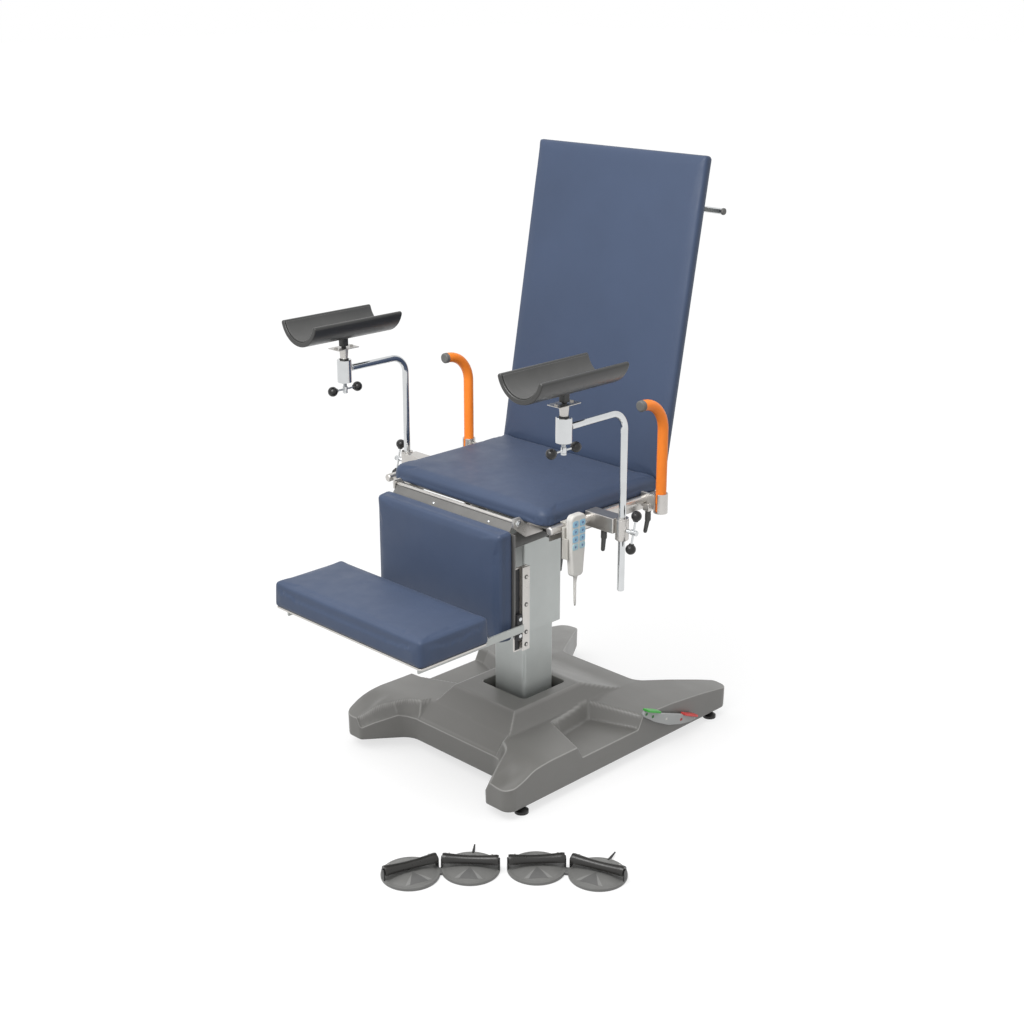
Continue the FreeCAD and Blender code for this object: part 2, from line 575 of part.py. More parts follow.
# Seat: folded steel frame on the tilt pins, cushion, rails and control box.
panel_out = rail_x - dim.rail_radius - dim.bore_gap
lug_in = ear_out + dim.slide_gap
lug_out = lug_in + dim.ear_thick
ear_in = dim.stile_x + dim.stile_wide
front_ear = dim.knuckle_half + dim.hinge_gap
seat_parts = [box(span(0, panel_out), (dim.sheet_in - dim.seat_front, dim.seat_rear - dim.sheet_in),
                  (sheet_low, seat_low))]
ear_outline = [
    (dim.ear_root - dim.seat_front, panel_low), (dim.ear_root - dim.seat_front, sheet_low),
    (-dim.seat_front, sheet_low), (dim.ear_edge - leg_axis_y, leg_axis_z + dim.ear_edge),
    (-dim.ear_edge - leg_axis_y, leg_axis_z + dim.ear_edge),
    (-dim.ear_edge - leg_axis_y, leg_axis_z - dim.ear_edge), (-dim.seat_front, panel_low),
]
for _, sign in SIDES:
    seat_parts += [
        box(mirrored(sign, panel_out - dim.panel_thick, panel_out),
            (dim.panel_in - dim.seat_front, dim.seat_rear - dim.panel_in), (panel_low, sheet_low)),
        box(span(0, panel_out), span(sign * dim.cross_at, dim.cross_half), (cross_low, sheet_low)),
        box(mirrored(sign, lug_in, lug_out), span(0, dim.cross_half),
            (tilt_z - dim.tilt_pin - dim.tilt_edge, sheet_low)),
        rod("X", dim.tilt_pin, mirrored(sign, dim.ear_half - dim.pin_past, lug_out), 0, tilt_z),
        box(mirrored(sign, ear_in, ear_in + dim.ear_thick),
            (dim.seat_rear - dim.ear_root, back_axis_y + dim.ear_edge),
            (back_axis_z - dim.ear_edge, sheet_low)),
        rod("X", dim.back_pin, mirrored(sign, dim.stile_x - dim.stile_wide, ear_in + dim.ear_thick),
            back_axis_y, back_axis_z),
        shaped(side_prism(mirrored(sign, front_ear, front_ear + dim.hinge_ear)[0],
                          dim.hinge_ear, ear_outline)),
    ]
eye = dim.eye_radius
seat_parts += lug_pair(-dim.actuator_x, span(-dim.back_drive_y, eye), (drive_z - eye, sheet_low))
seat_parts += lug_pair(dim.actuator_x, span(dim.leg_drive_y, eye), (drive_z - eye, sheet_low))
seat_parts += lug_pair(0, span(tilt_lever[0], eye), (tilt_lever[1] - eye, sheet_low))
hinge_bore = rod("X", dim.hinge_radius + dim.bore_gap, span(0, dim.seat_half), -leg_axis_y, leg_axis_z)
node("seat_frame", cut(fuse(*seat_parts), hinge_bore))

seat_pad = cushion(dim.seat_half, (dim.seat_front + dim.seat_rear) / 2, dim.seat_thick, dim.seat_round)
node("seat_cushion", shaped(seat_pad, tilted((dim.seat_rear - dim.seat_front) / 2, seat_low, 0)))
rail_reach = (-dim.rail_front, dim.rail_rear)
rails = [rod("Y", dim.rail_radius, rail_reach, sign * rail_x, rail_z) for _, sign in SIDES]
node("side_rails", group(*rails))
nut_at = front_ear + dim.hinge_ear + dim.bore_gap
hinge_parts = [rod("X", dim.hinge_radius, span(0, nut_at + dim.nut_tail), -leg_axis_y, leg_axis_z)]
for _, sign in SIDES:
    nut_span = mirrored(sign, nut_at, nut_at + dim.nut_thick)
    hinge_parts.append(rod("X", dim.hinge_radius + dim.nut_over, nut_span, -leg_axis_y, leg_axis_z))
node("leg_hinge_rod", fuse(*hinge_parts))
node("control_box", box((dim.box_in, dim.box_out), (-dim.box_front, dim.box_rear),
                        (cross_low - dim.box_tall, cross_low)))

# Backrest: crowned cushion on a pan with two stiles that swing on the rear pins.
lean = 90 - dim.back_lean
rise = math.radians(float(lean))
up = Vec(0, math.cos(rise), math.sin(rise))
face = Vec(0, -math.sin(rise), math.cos(rise))
half_long = dim.back_long / 2
back_foot = Vec(0, dim.seat_rear + dim.back_set, seat_low + dim.seat_thick + dim.back_gap)
back_base = back_foot + up * float(half_long) - face * float(dim.back_thick)
back_place = FreeCAD.Placement(back_base, FreeCAD.Rotation(Vec(1, 0, 0), float(lean)))
node("back_cushion", shaped(cushion(dim.back_half, half_long, dim.back_thick, dim.back_round), back_place))


def back_block(x, y, z):
    # a block in the backrest's own plane: x across, y up the back, z out of it
    block = Part.makeBox(x[1] - x[0], y[1] - y[0], z[1] - z[0], Vec(x[0], y[0], z[0]))
    block.Placement = back_place.multiply(block.Placement)
    return block


stile_back = -dim.pan_thick - dim.stile_deep
axis = Vec(0, back_axis_y, back_axis_z)
axis_out = (axis - back_base).dot(face)
stile_low = (axis - back_base).dot(up) - dim.back_sleeve
pan_half = half_long - dim.pan_in
pan_wide = span(0, dim.back_half - dim.pan_in)
back_parts = [back_block(pan_wide, span(0, pan_half), (-dim.pan_thick, length(0)))]
for _, sign in SIDES:
    stile = span(sign * dim.stile_x, dim.stile_wide / 2)
    back_parts.append(back_block(stile, (stile_low, half_long - dim.stile_in), (stile_back, -dim.pan_thick)))
    stile_foot = (stile_low, -half_long - dim.back_gap)
    back_parts.append(back_block(stile, stile_foot, (stile_back, length(axis_out))))
tube_half = ear_in - dim.slide_gap
across = Vec(1, 0, 0)
tube_end = axis - Vec(tube_half, 0, 0)
back_parts.append(Part.makeCylinder(dim.back_sleeve, 2 * tube_half, tube_end, across))
lever_outline = [
    (back_axis_y - dim.back_sleeve, back_axis_z), (back_lever[0] - eye, drive_z - eye),
    (back_lever[0] + eye, drive_z - eye), (back_axis_y + dim.back_sleeve, back_axis_z),
]
plate_in = dim.eye_half + dim.lug_gap
for start in (plate_in - dim.actuator_x, -dim.actuator_x - plate_in - dim.lug_thick):
    back_parts.append(side_prism(start, dim.lug_thick, lever_outline))
way_end = axis - Vec(2 * tube_half, 0, 0)
pin_way = Part.makeCylinder(dim.back_pin + dim.bore_gap, 4 * tube_half, way_end, across)
node("back_frame", shaped(back_parts[0].fuse(back_parts[1:]).cut(pin_way).removeSplitter()))
bar_out = stile_back - dim.bar_radius - dim.bore_gap
bar_up = half_long - dim.bar_down
bar_end = Vec(-dim.bar_half, bar_up, bar_out)
bar_pieces = [Part.makeCylinder(dim.bar_radius, 2 * dim.bar_half, bar_end, across)]
for _, sign in SIDES:
    bar_pieces.append(Part.makeCylinder(dim.bar_radius + dim.cap_over, dim.cap_long,
                                        Vec(sign * dim.bar_half, bar_up, bar_out), Vec(sign, 0, 0)))
node("back_bar", shaped(Part.makeCompound(bar_pieces), back_place))
actuator("back", -dim.actuator_x, (-dim.back_drive_y, drive_z), back_lever, dim.back_tube, dim.back_rod_in)

# Leg section: plate with flanges and guides, hung on the hinge rod.
plate_y = (-leg_back, dim.sheet - leg_back)
plate_high = leg_high - dim.plate_top
plate_low = leg_high - dim.leg_tall + dim.plate_up
hang = [
    (plate_y[0], plate_high), (plate_y[1], plate_high - dim.hang_down),
    (-leg_axis_y - dim.hang_down, leg_axis_z - dim.hang_out),
    (-leg_axis_y - dim.hang_out, leg_axis_z - dim.hang_down),
]
guide_y = (-leg_back + dim.guide_back, -leg_back + dim.guide_back + dim.guide_wide)
leg_parts = [
    box(span(0, dim.leg_plate_half), plate_y, (plate_low, plate_high)),
    shaped(side_prism(-dim.knuckle_half, 2 * dim.knuckle_half, hang)),
    rod("X", dim.knuckle, span(0, dim.knuckle_half), -leg_axis_y, leg_axis_z),
]
for _, sign in SIDES:
    leg_parts.append(box(mirrored(sign, dim.flange_x - dim.sheet, dim.flange_x), (plate_y[1], guide_y[1]),
                         (guide_low, guide_high)))
leg_parts += lug_pair(dim.actuator_x, (plate_y[1], leg_lever[0] + eye), span(leg_lever[1], eye))
knuckle_bore = rod("X", dim.hinge_radius + dim.bore_gap, span(0, dim.seat_half), -leg_axis_y, leg_axis_z)
node("leg_frame", cut(fuse(*leg_parts), knuckle_bore))
leg_pad = cushion(dim.leg_half, dim.leg_tall / 2, dim.leg_thick, dim.leg_round)
node("leg_cushion", shaped(leg_pad, tilted(-leg_back, leg_high - dim.leg_tall / 2, 90)))
guide_in = dim.flange_x + dim.guide_gap
guide_out = guide_in + dim.sheet
bolt_y = (guide_y[0] + guide_y[1]) / 2
guides = []
for _, sign in SIDES:
    strip_parts = [box(mirrored(sign, guide_in, guide_out), guide_y, (guide_low, guide_high))]
    for share in GUIDE_BOLTS:
        level = guide_low + share * dim.guide_long
        spacer = mirrored(sign, dim.flange_x, guide_in)
        strip_parts.append(rod("X", dim.spacer_radius, spacer, bolt_y, level))
        strip_parts.append(rod("X", dim.bolt_radius, mirrored(sign, guide_out, guide_out + dim.bolt_head),
                               bolt_y, level))
    guides.append(fuse(*strip_parts))
node("leg_guides", group(*guides))
actuator("leg", dim.actuator_x, (dim.leg_drive_y, drive_z), leg_lever, dim.leg_tube, dim.leg_rod_in)

# Knee rest: tray on two flat arms whose sliders run in front of the guide strips.
rest_back = leg_back + dim.leg_thick + dim.rest_gap
rest_front = rest_back + dim.rest_deep
rest_low = guide_low + dim.rest_rise
tray_low = rest_low - dim.tray_thick
arm_in = guide_out + dim.arm_gap
arm_out = arm_in + dim.arm_thick
slider_low = guide_low + dim.slider_rise
rest_parts = [box(span(0, dim.foot_half - dim.tray_in), (dim.tray_in - rest_front, -dim.tray_in - rest_back),
                  (tray_low, rest_low))]
for _, sign in SIDES:
    arm_reach = (dim.arm_in - rest_front, guide_y[0] - dim.arm_lap)
    rest_parts.append(box(mirrored(sign, arm_in, arm_out), arm_reach, (tray_low - dim.arm_tall, tray_low)))
    rest_parts.append(box(mirrored(sign, dim.flange_x + dim.bore_gap, arm_in),
                          (plate_y[1] + dim.bore_gap, guide_y[0] - dim.bore_gap),
                          (slider_low, slider_low + dim.slider_tall)))
node("foot_tray", fuse(*rest_parts))
rest_pad = cushion(dim.foot_half, dim.rest_deep / 2, dim.rest_thick, dim.rest_round)
node("foot_cushion", shaped(rest_pad, tilted(-(rest_front + rest_back) / 2, rest_low, 0)))


# Leg holders and hand grips, a mirrored pair of each on the side rails.
arm_start = dim.seat_half + dim.arm_gap_seat
post_x = rail_x + dim.post_out
clamp_in = post_x - dim.clamp_half_x
clamp_out = post_x + dim.clamp_half_x
clamp_z = (rail_z - dim.clamp_drop, rail_z + dim.clamp_rise)
clamp_middle = (clamp_z[0] + clamp_z[1]) / 2
bracket_z = span(rail_z, dim.bracket_half)
bush_out = dim.post_radius + dim.bore_gap + dim.bush_wall
flange_z = (clamp_z[1] + dim.bore_gap, clamp_z[1] + dim.flange_tall)
arm_z = rail_z + dim.post_rise
head_y = dim.post_y + dim.arm_reach
socket_z = (arm_z - dim.socket_drop, arm_z + dim.socket_rise)
socket_floor = socket_z[0] + dim.socket_floor
stem_top = socket_z[1] + dim.stem_tall
shell_axis = stem_top + dim.tongue_rise
shell_low = shell_axis + dim.block_deep
grip_x = rail_x + dim.grip_out
sleeve_z = (rail_z - dim.sleeve_drop, rail_z + dim.sleeve_rise)
grip_z = rail_z + dim.grip_rise
grip_end = dim.grip_y - dim.grip_reach
boss_x = rail_x + dim.rail_radius + dim.stud_radius
boss_low = bracket_z[0] - dim.boss_drop
lever_x = rail_x + dim.lever_out


def rail_bracket(sign):
    # bracket round the rail, with the clamp block for the post at its outer end
    post_y = span(-dim.post_y, dim.clamp_half_y)
    block = fuse(box(mirrored(sign, arm_start, clamp_in), post_y, bracket_z),
                 box(mirrored(sign, clamp_in, clamp_out), post_y, clamp_z))
    return cut(
        block, rod("Y", rail_bore, rail_reach, sign * rail_x, rail_z),
        rod("Z", bush_out + dim.bore_gap, (clamp_z[0] - past, clamp_z[1] + past),
            sign * post_x, -dim.post_y),
        rod("X", dim.screw_radius + dim.bore_gap, mirrored(sign, post_x, clamp_out + past),
            -dim.post_y, clamp_middle),
        rod("Z", dim.stud_radius + dim.bore_gap, (bracket_z[0] - past, bracket_z[0] + dim.stud_long + past),
            sign * lever_x, -dim.post_y))


def grip_socket(sign):
    # sleeve for the grip on a plate round the rail, with a boss for the clamp lever
    sleeve = dim.grip_radius + dim.bore_gap + dim.sleeve_wall
    plate_end = grip_x - dim.grip_radius - dim.bore_gap
    block = fuse(
        rod("Z", sleeve, sleeve_z, sign * grip_x, dim.grip_y),
        box(mirrored(sign, arm_start, plate_end), span(dim.grip_y, dim.arm_plate / 2), bracket_z),
        box(mirrored(sign, boss_x - dim.boss_half, boss_x + dim.boss_half), span(dim.grip_y, dim.boss_half),
            (boss_low, boss_low + dim.boss_tall)))
    return cut(
        block, rod("Y", rail_bore, rail_reach, sign * rail_x, rail_z),
        rod("Z", dim.grip_radius + dim.bore_gap, (sleeve_z[0] + dim.sleeve_floor, sleeve_z[1] + past),
            sign * grip_x, dim.grip_y),
        rod("Z", dim.stud_radius + dim.bore_gap, (boss_low - past, boss_low + dim.boss_tall + past),
            sign * boss_x, dim.grip_y))


def swivel_bush(sign):
    x = sign * post_x
    bush = fuse(rod("Z", bush_out, (clamp_z[0] - dim.bush_past, flange_z[1]), x, -dim.post_y),
                rod("Z", bush_out + dim.flange_over, flange_z, x, -dim.post_y))
    bore = rod("Z", dim.post_radius + dim.bore_gap, (clamp_z[0] - 2 * dim.bush_past, flange_z[1] + past),
               x, -dim.post_y)
    return cut(bush, bore)


def holder_post(sign):
    # bent bar with the socket for the trough's stem at its end
    x = sign * post_x
    knee = [(x, -dim.post_y, rail_z - dim.post_tail), (x, -dim.post_y, arm_z),
            (x, dim.socket_radius - dim.socket_floor / 2 - head_y, arm_z)]
    bar = shaped(bent_tube(knee, dim.post_radius, dim.bend)[0])
    return cut(
        fuse(rod("Z", dim.socket_radius, socket_z, x, -head_y), bar),
        rod("Z", dim.stem_radius + dim.bore_gap, (socket_floor, socket_z[1] + past), x, -head_y),
        rod("Z", dim.screw_radius + dim.bore_gap, (socket_z[0] - past, socket_floor + past), x, -head_y))


def head_stem(sign):
    # stem in the socket, with a cone, a thin plate and the tongue of the tilt joint
    x = sign * post_x
    tongue = span(x, dim.tongue_half)
    stem = fuse(
        rod("Z", dim.stem_radius, (socket_floor + dim.stem_flare, socket_z[1] + past), x, -head_y),
        cone(dim.stem_radius + dim.stem_flare, dim.stem_radius, (socket_z[1] + dim.bore_gap, stem_top),
             x, -head_y),
        box(span(x, dim.plate_half_x), span(-head_y, dim.plate_half_y),
            (stem_top, stem_top + dim.plate_thick)),
        box(tongue, span(-head_y, dim.tongue_round), (stem_top, shell_axis)),
        rod("X", dim.tongue_round, tongue, -head_y, shell_axis))
    return cut(stem, rod("X", dim.trough_pin + dim.bore_gap, span(x, dim.block_half), -head_y, shell_axis))


def holder_shell(sign):
    # padded trough: an arc of wall with round lips, cut on the slant at its inner end, on a forked block
    x = float(sign * post_x)
    radius = float(dim.shell_radius)
    inner = radius - float(dim.shell_wall)
    halfway = (radius + inner) / 2
    front = -head_y - dim.shell_ahead
    rear = float(dim.shell_behind - head_y)
    centre = float(shell_low) + radius
    lip = math.radians(float(dim.shell_drop))
    round_lip = (radius - inner) / 2 / halfway

    def at(distance, angle):
        return Vec(x + distance * math.cos(angle), front, centre + distance * math.sin(angle))

    right_end, left_end, low_point = -lip, lip - math.pi, -math.pi / 2
    section = Part.Wire([
        Part.Arc(at(radius, left_end), at(radius, low_point), at(radius, right_end)).toShape(),
        Part.Arc(at(radius, right_end), at(halfway, right_end + round_lip), at(inner, right_end)).toShape(),
        Part.Arc(at(inner, right_end), at(inner, low_point), at(inner, left_end)).toShape(),
        Part.Arc(at(inner, left_end), at(halfway, left_end - round_lip), at(radius, left_end)).toShape()])
    trough = Part.Face(section).extrude(Vec(0, dim.shell_ahead + dim.shell_behind, 0))
    beyond = rear + radius
    slant = [(rear - float(dim.shell_slant), centre + radius), (rear + past, centre - radius - past),
             (beyond, centre - radius - past), (beyond, centre + radius)]
    trough = trough.cut(side_prism(x - 2 * radius, 4 * radius, slant))
    middle = sign * post_x
    block = cut(
        box(span(middle, dim.block_half), span(-head_y, dim.block_deep),
            (shell_axis - dim.block_deep, shell_low + dim.shell_sink)),
        box(span(middle, dim.tongue_half + dim.bore_gap), span(-head_y, 2 * dim.block_deep),
            (stem_top, shell_axis + dim.tongue_round + 2 * dim.bore_gap)))
    pin = rod("X", dim.trough_pin, span(middle, dim.block_half), -head_y, shell_axis)
    return fuse(shaped(trough), block, pin)


def tommy_screw(reach, placement):
    # screw that points up from its cross bar, with a ball on each end of the bar
    spread = dim.tommy_half + dim.ball_radius / 2
    shank = Part.makeCylinder(dim.screw_radius, reach + dim.screw_tail, Vec(0, 0, -dim.screw_tail))
    bar = Part.makeCylinder(dim.tommy_radius, 2 * spread, Vec(0, -spread, 0), Vec(0, 1, 0))
    balls = [Part.makeSphere(dim.ball_radius, Vec(0, way * spread, 0)) for way in (-1, 1)]
    return shaped(shank.fuse([bar, *balls]), placement)


def grip_handle(sign):
    # bent grip tube with an end cap
    x = sign * grip_x
    bends = [(x, dim.grip_y, sleeve_z[0] + dim.sleeve_floor + dim.bore_gap), (x, dim.grip_y, grip_z),
             (x, grip_end, grip_z)]
    tube = shaped(bent_tube(bends, dim.grip_radius, dim.grip_bend)[0])
    cap = rod("Y", dim.grip_radius + dim.cap_lip, (grip_end - dim.grip_cap, grip_end), x, grip_z)
    return group(tube, cap)


def clamp_lever(x, y, under):
    # hub with a stud, and a tapered arm that hangs aside
    hub_low = under - dim.lever_tall
    hub = fuse(rod("Z", dim.lever_hub, (hub_low, under - dim.bore_gap), x, y),
               rod("Z", dim.stud_radius, (under - past, under + dim.stud_long), x, y))
    arm = doc.addObject("Part::Cone", "Arm")
    thin = dim.lever_hub - dim.lever_taper / 2
    bind(arm, Radius1=thin, Radius2=thin - dim.lever_taper, Height=dim.lever_long)
    arm.Placement.Rotation = FreeCAD.Rotation(Vec(1, 0, 0), float(dim.lever_turn))
    return fuse(hub, put(arm, x, y, hub_low + dim.lever_hub))


tommy_z = socket_z[0] - dim.ball_radius - dim.screw_gap
tommy_x = clamp_out + dim.ball_radius + dim.screw_tip
turn = math.radians(float(dim.clamp_turn))
brackets = []
sockets = []
for name, sign in SIDES:
    brackets.append(rail_bracket(sign))
    sockets.append(grip_socket(sign))
    node(f"swivel_bush_{name}", swivel_bush(sign))
    node(f"holder_post_{name}", holder_post(sign))
    node(f"head_stem_{name}", head_stem(sign))
    node(f"holder_shell_{name}", holder_shell(sign))
    upright = FreeCAD.Placement(Vec(sign * post_x, -head_y, tommy_z), FreeCAD.Rotation())
    node(f"socket_screw_{name}", tommy_screw(socket_z[0] + dim.screw_tip - tommy_z, upright))
    pointing = Vec(-sign, 0, 0)
    along_bar = Vec(0, math.sin(turn), math.cos(turn))
    inward = FreeCAD.Placement(Vec(sign * tommy_x, -dim.post_y, clamp_middle),
                               FreeCAD.Rotation(along_bar.cross(pointing), along_bar, pointing, "ZYX"))
    node(f"clamp_screw_{name}", tommy_screw(tommy_x - post_x - bush_out - dim.screw_clear, inward))
    node(f"handle_{name}", grip_handle(sign))
    node(f"bracket_lever_{name}", clamp_lever(sign * lever_x, -dim.post_y, bracket_z[0]))
    node(f"handle_lever_{name}", clamp_lever(sign * boss_x, dim.grip_y, boss_low))
node("holder_brackets", group(*brackets))
node("handle_sockets", group(*sockets))

# Brake pedal: a curved rocker on a cross shaft, with a green and a red pad.
pedal_place = tilted(dim.pedal_y, dim.pedal_z, -dim.pedal_tilt)
pedal_x = dim.base_half + dim.pedal_gap
half = dim.pedal_half
crest = dim.pedal_crest
rim = crest - dim.pedal_edge
belly = Vec(pedal_x, 0, crest - dim.pedal_belly)
plate_wire = Part.Wire([
    Part.LineSegment(Vec(pedal_x, -half, crest), Vec(pedal_x, half, crest)).toShape(),
    Part.LineSegment(Vec(pedal_x, half, crest), Vec(pedal_x, half, rim)).toShape(),
    Part.Arc(Vec(pedal_x, half, rim), belly, Vec(pedal_x, -half, rim)).toShape(),
    Part.LineSegment(Vec(pedal_x, -half, rim), Vec(pedal_x, -half, crest)).toShape()])
shaft = Part.makeCylinder(dim.pedal_shaft, pedal_x - beam_in, Vec(beam_in, 0, 0), Vec(1, 0, 0))
plate = Part.Face(plate_wire).extrude(Vec(dim.pedal_thick, 0, 0))
node("brake_pedal", shaped(plate.fuse(shaft), pedal_place))
for colour, start in (("green", dim.pad_inset - half), ("red", half - dim.pad_inset - dim.pad_long)):
    pad = Part.makeBox(dim.pad_wide, dim.pad_long, dim.pad_tall, Vec(pedal_x - dim.pad_lap, start, crest))
    node(f"brake_pad_{colour}", shaped(pad, pedal_place))

# Handset in its cradle on the right rail, with a strain relief and its hanging cord.
hand_x = rail_x + dim.handset_out
hand_top = rail_z + dim.handset_rise
hand_low = hand_top - dim.handset_tall
wide = dim.handset_half
waist = (dim.hand_waist * wide, dim.hand_waist_at * dim.handset_tall)
hand_right = [(dim.hand_taper * wide, 0, dim.hand_low_round), (*waist, dim.hand_side_round),
              (wide, dim.handset_tall, dim.hand_top_round)]
hand_left = [(-u, v, radius) for u, v, radius in reversed(hand_right)]
hand_wire = rounded_wire(hand_right + hand_left,
                         lambda flat: Vec(hand_x, flat.x - dim.handset_y, flat.y + hand_low))
hand_body = shaped(Part.Face(hand_wire).extrude(Vec(dim.handset_thick, 0, 0)))
relief = cone(dim.cord_radius + dim.relief_tip, dim.cord_radius + dim.relief_root,
              (hand_low - dim.relief_tall, hand_low), hand_x + dim.handset_thick / 2, -dim.handset_y)
node("handset", fuse(hand_body, relief))
keys = []
key_face = hand_x + dim.handset_thick
for column in (-1, 1):
    for row in range(4):
        middle = column * (dim.key_wide + dim.key_gap) / 2 - dim.handset_y
        level = hand_top - dim.key_down - row * dim.key_step
        keys.append(box((key_face, key_face + dim.key_rise), span(middle, dim.key_wide / 2),
                        span(level, dim.key_tall / 2)))
node("handset_keys", group(*keys))
cradle_in = rail_x + dim.rail_radius + dim.bore_gap
cradle_low = rail_z - dim.cradle_drop
ring_y = span(-dim.handset_y, dim.ring_half)
ring_cut = span(-dim.handset_y, dim.ring_half + past)
ring = cut(rod("Y", dim.rail_radius + dim.cradle_ring, ring_y, rail_x, rail_z),
           rod("Y", rail_bore, ring_cut, rail_x, rail_z),
           box((rail_x - 2 * dim.rail_radius, arm_start), ring_cut, span(rail_z, 2 * dim.rail_radius)))
cradle_parts = [ring, box((cradle_in, hand_x - dim.bore_gap), span(-dim.handset_y, dim.cradle_half),
                          (cradle_low, rail_z + dim.cradle_rise))]
for _, sign in SIDES:
    ear_y = span(sign * (dim.cradle_half - dim.ear_wall / 2) - dim.handset_y, dim.ear_wall / 2)
    ear_x = (cradle_in, hand_x + dim.handset_thick / 2)
    cradle_parts.append(box(ear_x, ear_y, (cradle_low, rail_z - dim.ear_top)))
node("handset_holder", fuse(*cradle_parts))
cord, cord_length, cord_radii = bent_tube(CORD_ROUTE, dim.cord_radius)
node("handset_cord", shaped(cord))
cord_section = math.pi * float(dim.cord_radius) ** 2
print("cord length", round(cord_length, 1), "radii", [round(radius, 1) for radius in cord_radii])
print("cord volume over section times length", round(cord.Volume / (cord_section * cord_length), 6))


def foot_disc(place, with_gland):
    # low disc with a flat dome, two uprights with pivot stubs, and a cable gland at its back where asked
    rim_z = dim.disc_rim
    disc = Part.makeCylinder(dim.disc_radius, rim_z)
    pieces = [Part.makeCone(dim.disc_radius - dim.dome_in, dim.dome_radius, dim.disc_dome, Vec(0, 0, rim_z))]
    reach = dim.bar_half_long + dim.bore_gap
    tall = dim.rocker_axis + dim.upright_over - dim.upright_sink
    for end in (-1, 1):
        start = mirrored(end, reach, reach + dim.upright_wide)[0]
        corner = Vec(start, -dim.upright_half, dim.upright_sink)
        pieces.append(Part.makeBox(dim.upright_wide, 2 * dim.upright_half, tall, corner))
        pin_at = Vec(end * (reach - dim.stub_long), 0, dim.rocker_axis)
        stub_run = dim.stub_long + dim.upright_wide
        pieces.append(Part.makeCylinder(dim.stub_radius, stub_run, pin_at, Vec(end, 0, 0)))
    if with_gland:
        root = Vec(0, dim.disc_radius - dim.gland_lap, dim.gland_z)
        pieces.append(Part.makeCone(dim.gland_root, dim.gland_tip, dim.gland_long, root, Vec(0, 1, 0)))
    disc = disc.fuse(pieces)
    disc.Placement = place
    return disc


def rocker_bar(place):
    # half-round bar with a bore for the pivot stubs
    end = -dim.bar_half_long
    deep = dim.rocker_half
    low = dim.rocker_low
    shoulder = low + dim.rocker_side
    ridge = Vec(end, 0, low + dim.rocker_tall)
    outline = Part.Wire([
        Part.LineSegment(Vec(end, -deep, low), Vec(end, deep, low)).toShape(),
        Part.LineSegment(Vec(end, deep, low), Vec(end, deep, shoulder)).toShape(),
        Part.Arc(Vec(end, deep, shoulder), ridge, Vec(end, -deep, shoulder)).toShape(),
        Part.LineSegment(Vec(end, -deep, shoulder), Vec(end, -deep, low)).toShape()])
    bar = Part.Face(outline).extrude(Vec(2 * dim.bar_half_long, 0, 0))
    bore = Part.makeCylinder(dim.stub_radius + dim.stub_gap, 2 * dim.bar_half_long + 2 * past,
                             Vec(end - past, 0, dim.rocker_axis), Vec(1, 0, 0))
    return shaped(bar.cut(bore), place)


# Foot switches: two discs joined by a link, each with a rocker bar between two uprights.
for switch, discs in FOOT_SWITCHES.items():
    twin = []
    for place_in_twin, (rocker, x, y, heading) in enumerate(discs):
        place = FreeCAD.Placement(Vec(x, y, 0), FreeCAD.Rotation(Vec(0, 0, 1), heading))
        twin.append(foot_disc(place, place_in_twin == 1))
        node(rocker, rocker_bar(place))
    (_, x, y, _), (_, next_x, next_y, _) = discs
    heading = math.degrees(math.atan2(next_y - y, next_x - x))
    corner = Vec(-dim.link_long / 2, -dim.link_wide / 2, 0)
    link = Part.makeBox(dim.link_long, dim.link_wide, dim.link_tall, corner)
    link.Placement = FreeCAD.Placement(Vec((x + next_x) / 2, (y + next_y) / 2, 0),
                                       FreeCAD.Rotation(Vec(0, 0, 1), heading))
    node(switch, shaped(twin[0].fuse([twin[1], link])))

doc.recompute()
failed = [thing.Name for thing in doc.Objects if "Invalid" in thing.State or "Error" in thing.State]
bad = [thing.Label for thing in nodes if thing.Shape.isNull() or not thing.Shape.isValid()]
if failed or bad:
    raise RuntimeError(f"failed objects {failed}, bad shapes {bad}")
os.makedirs("parts", exist_ok=True)
for thing in nodes:
    thing.Shape.exportStep(f"parts/{thing.Label}.step")
print(len(nodes), "nodes written")
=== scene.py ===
import math

import bmesh
import bpy
import numpy as np
from mathutils import Matrix, Vector
from mathutils.geometry import delaunay_2d_cdt


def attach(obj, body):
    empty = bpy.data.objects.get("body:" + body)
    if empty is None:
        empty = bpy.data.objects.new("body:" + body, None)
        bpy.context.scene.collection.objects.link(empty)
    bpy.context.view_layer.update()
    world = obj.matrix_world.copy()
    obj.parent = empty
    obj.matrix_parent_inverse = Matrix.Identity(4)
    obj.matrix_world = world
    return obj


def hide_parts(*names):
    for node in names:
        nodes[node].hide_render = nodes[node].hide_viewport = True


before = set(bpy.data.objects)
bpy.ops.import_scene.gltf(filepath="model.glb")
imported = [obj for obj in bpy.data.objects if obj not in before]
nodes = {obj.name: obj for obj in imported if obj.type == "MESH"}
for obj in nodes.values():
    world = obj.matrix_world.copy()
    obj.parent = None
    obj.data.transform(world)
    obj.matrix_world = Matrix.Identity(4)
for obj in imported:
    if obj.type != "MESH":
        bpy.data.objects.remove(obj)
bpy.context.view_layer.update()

scene = bpy.context.scene
scene.view_settings.view_transform = "Standard"
milli = 0.001  # pieces are worked out in millimetres
sides = (("left", -1), ("right", 1))
ex, ey, ez = np.eye(3)
print("frame loaded:", len(nodes), "nodes")

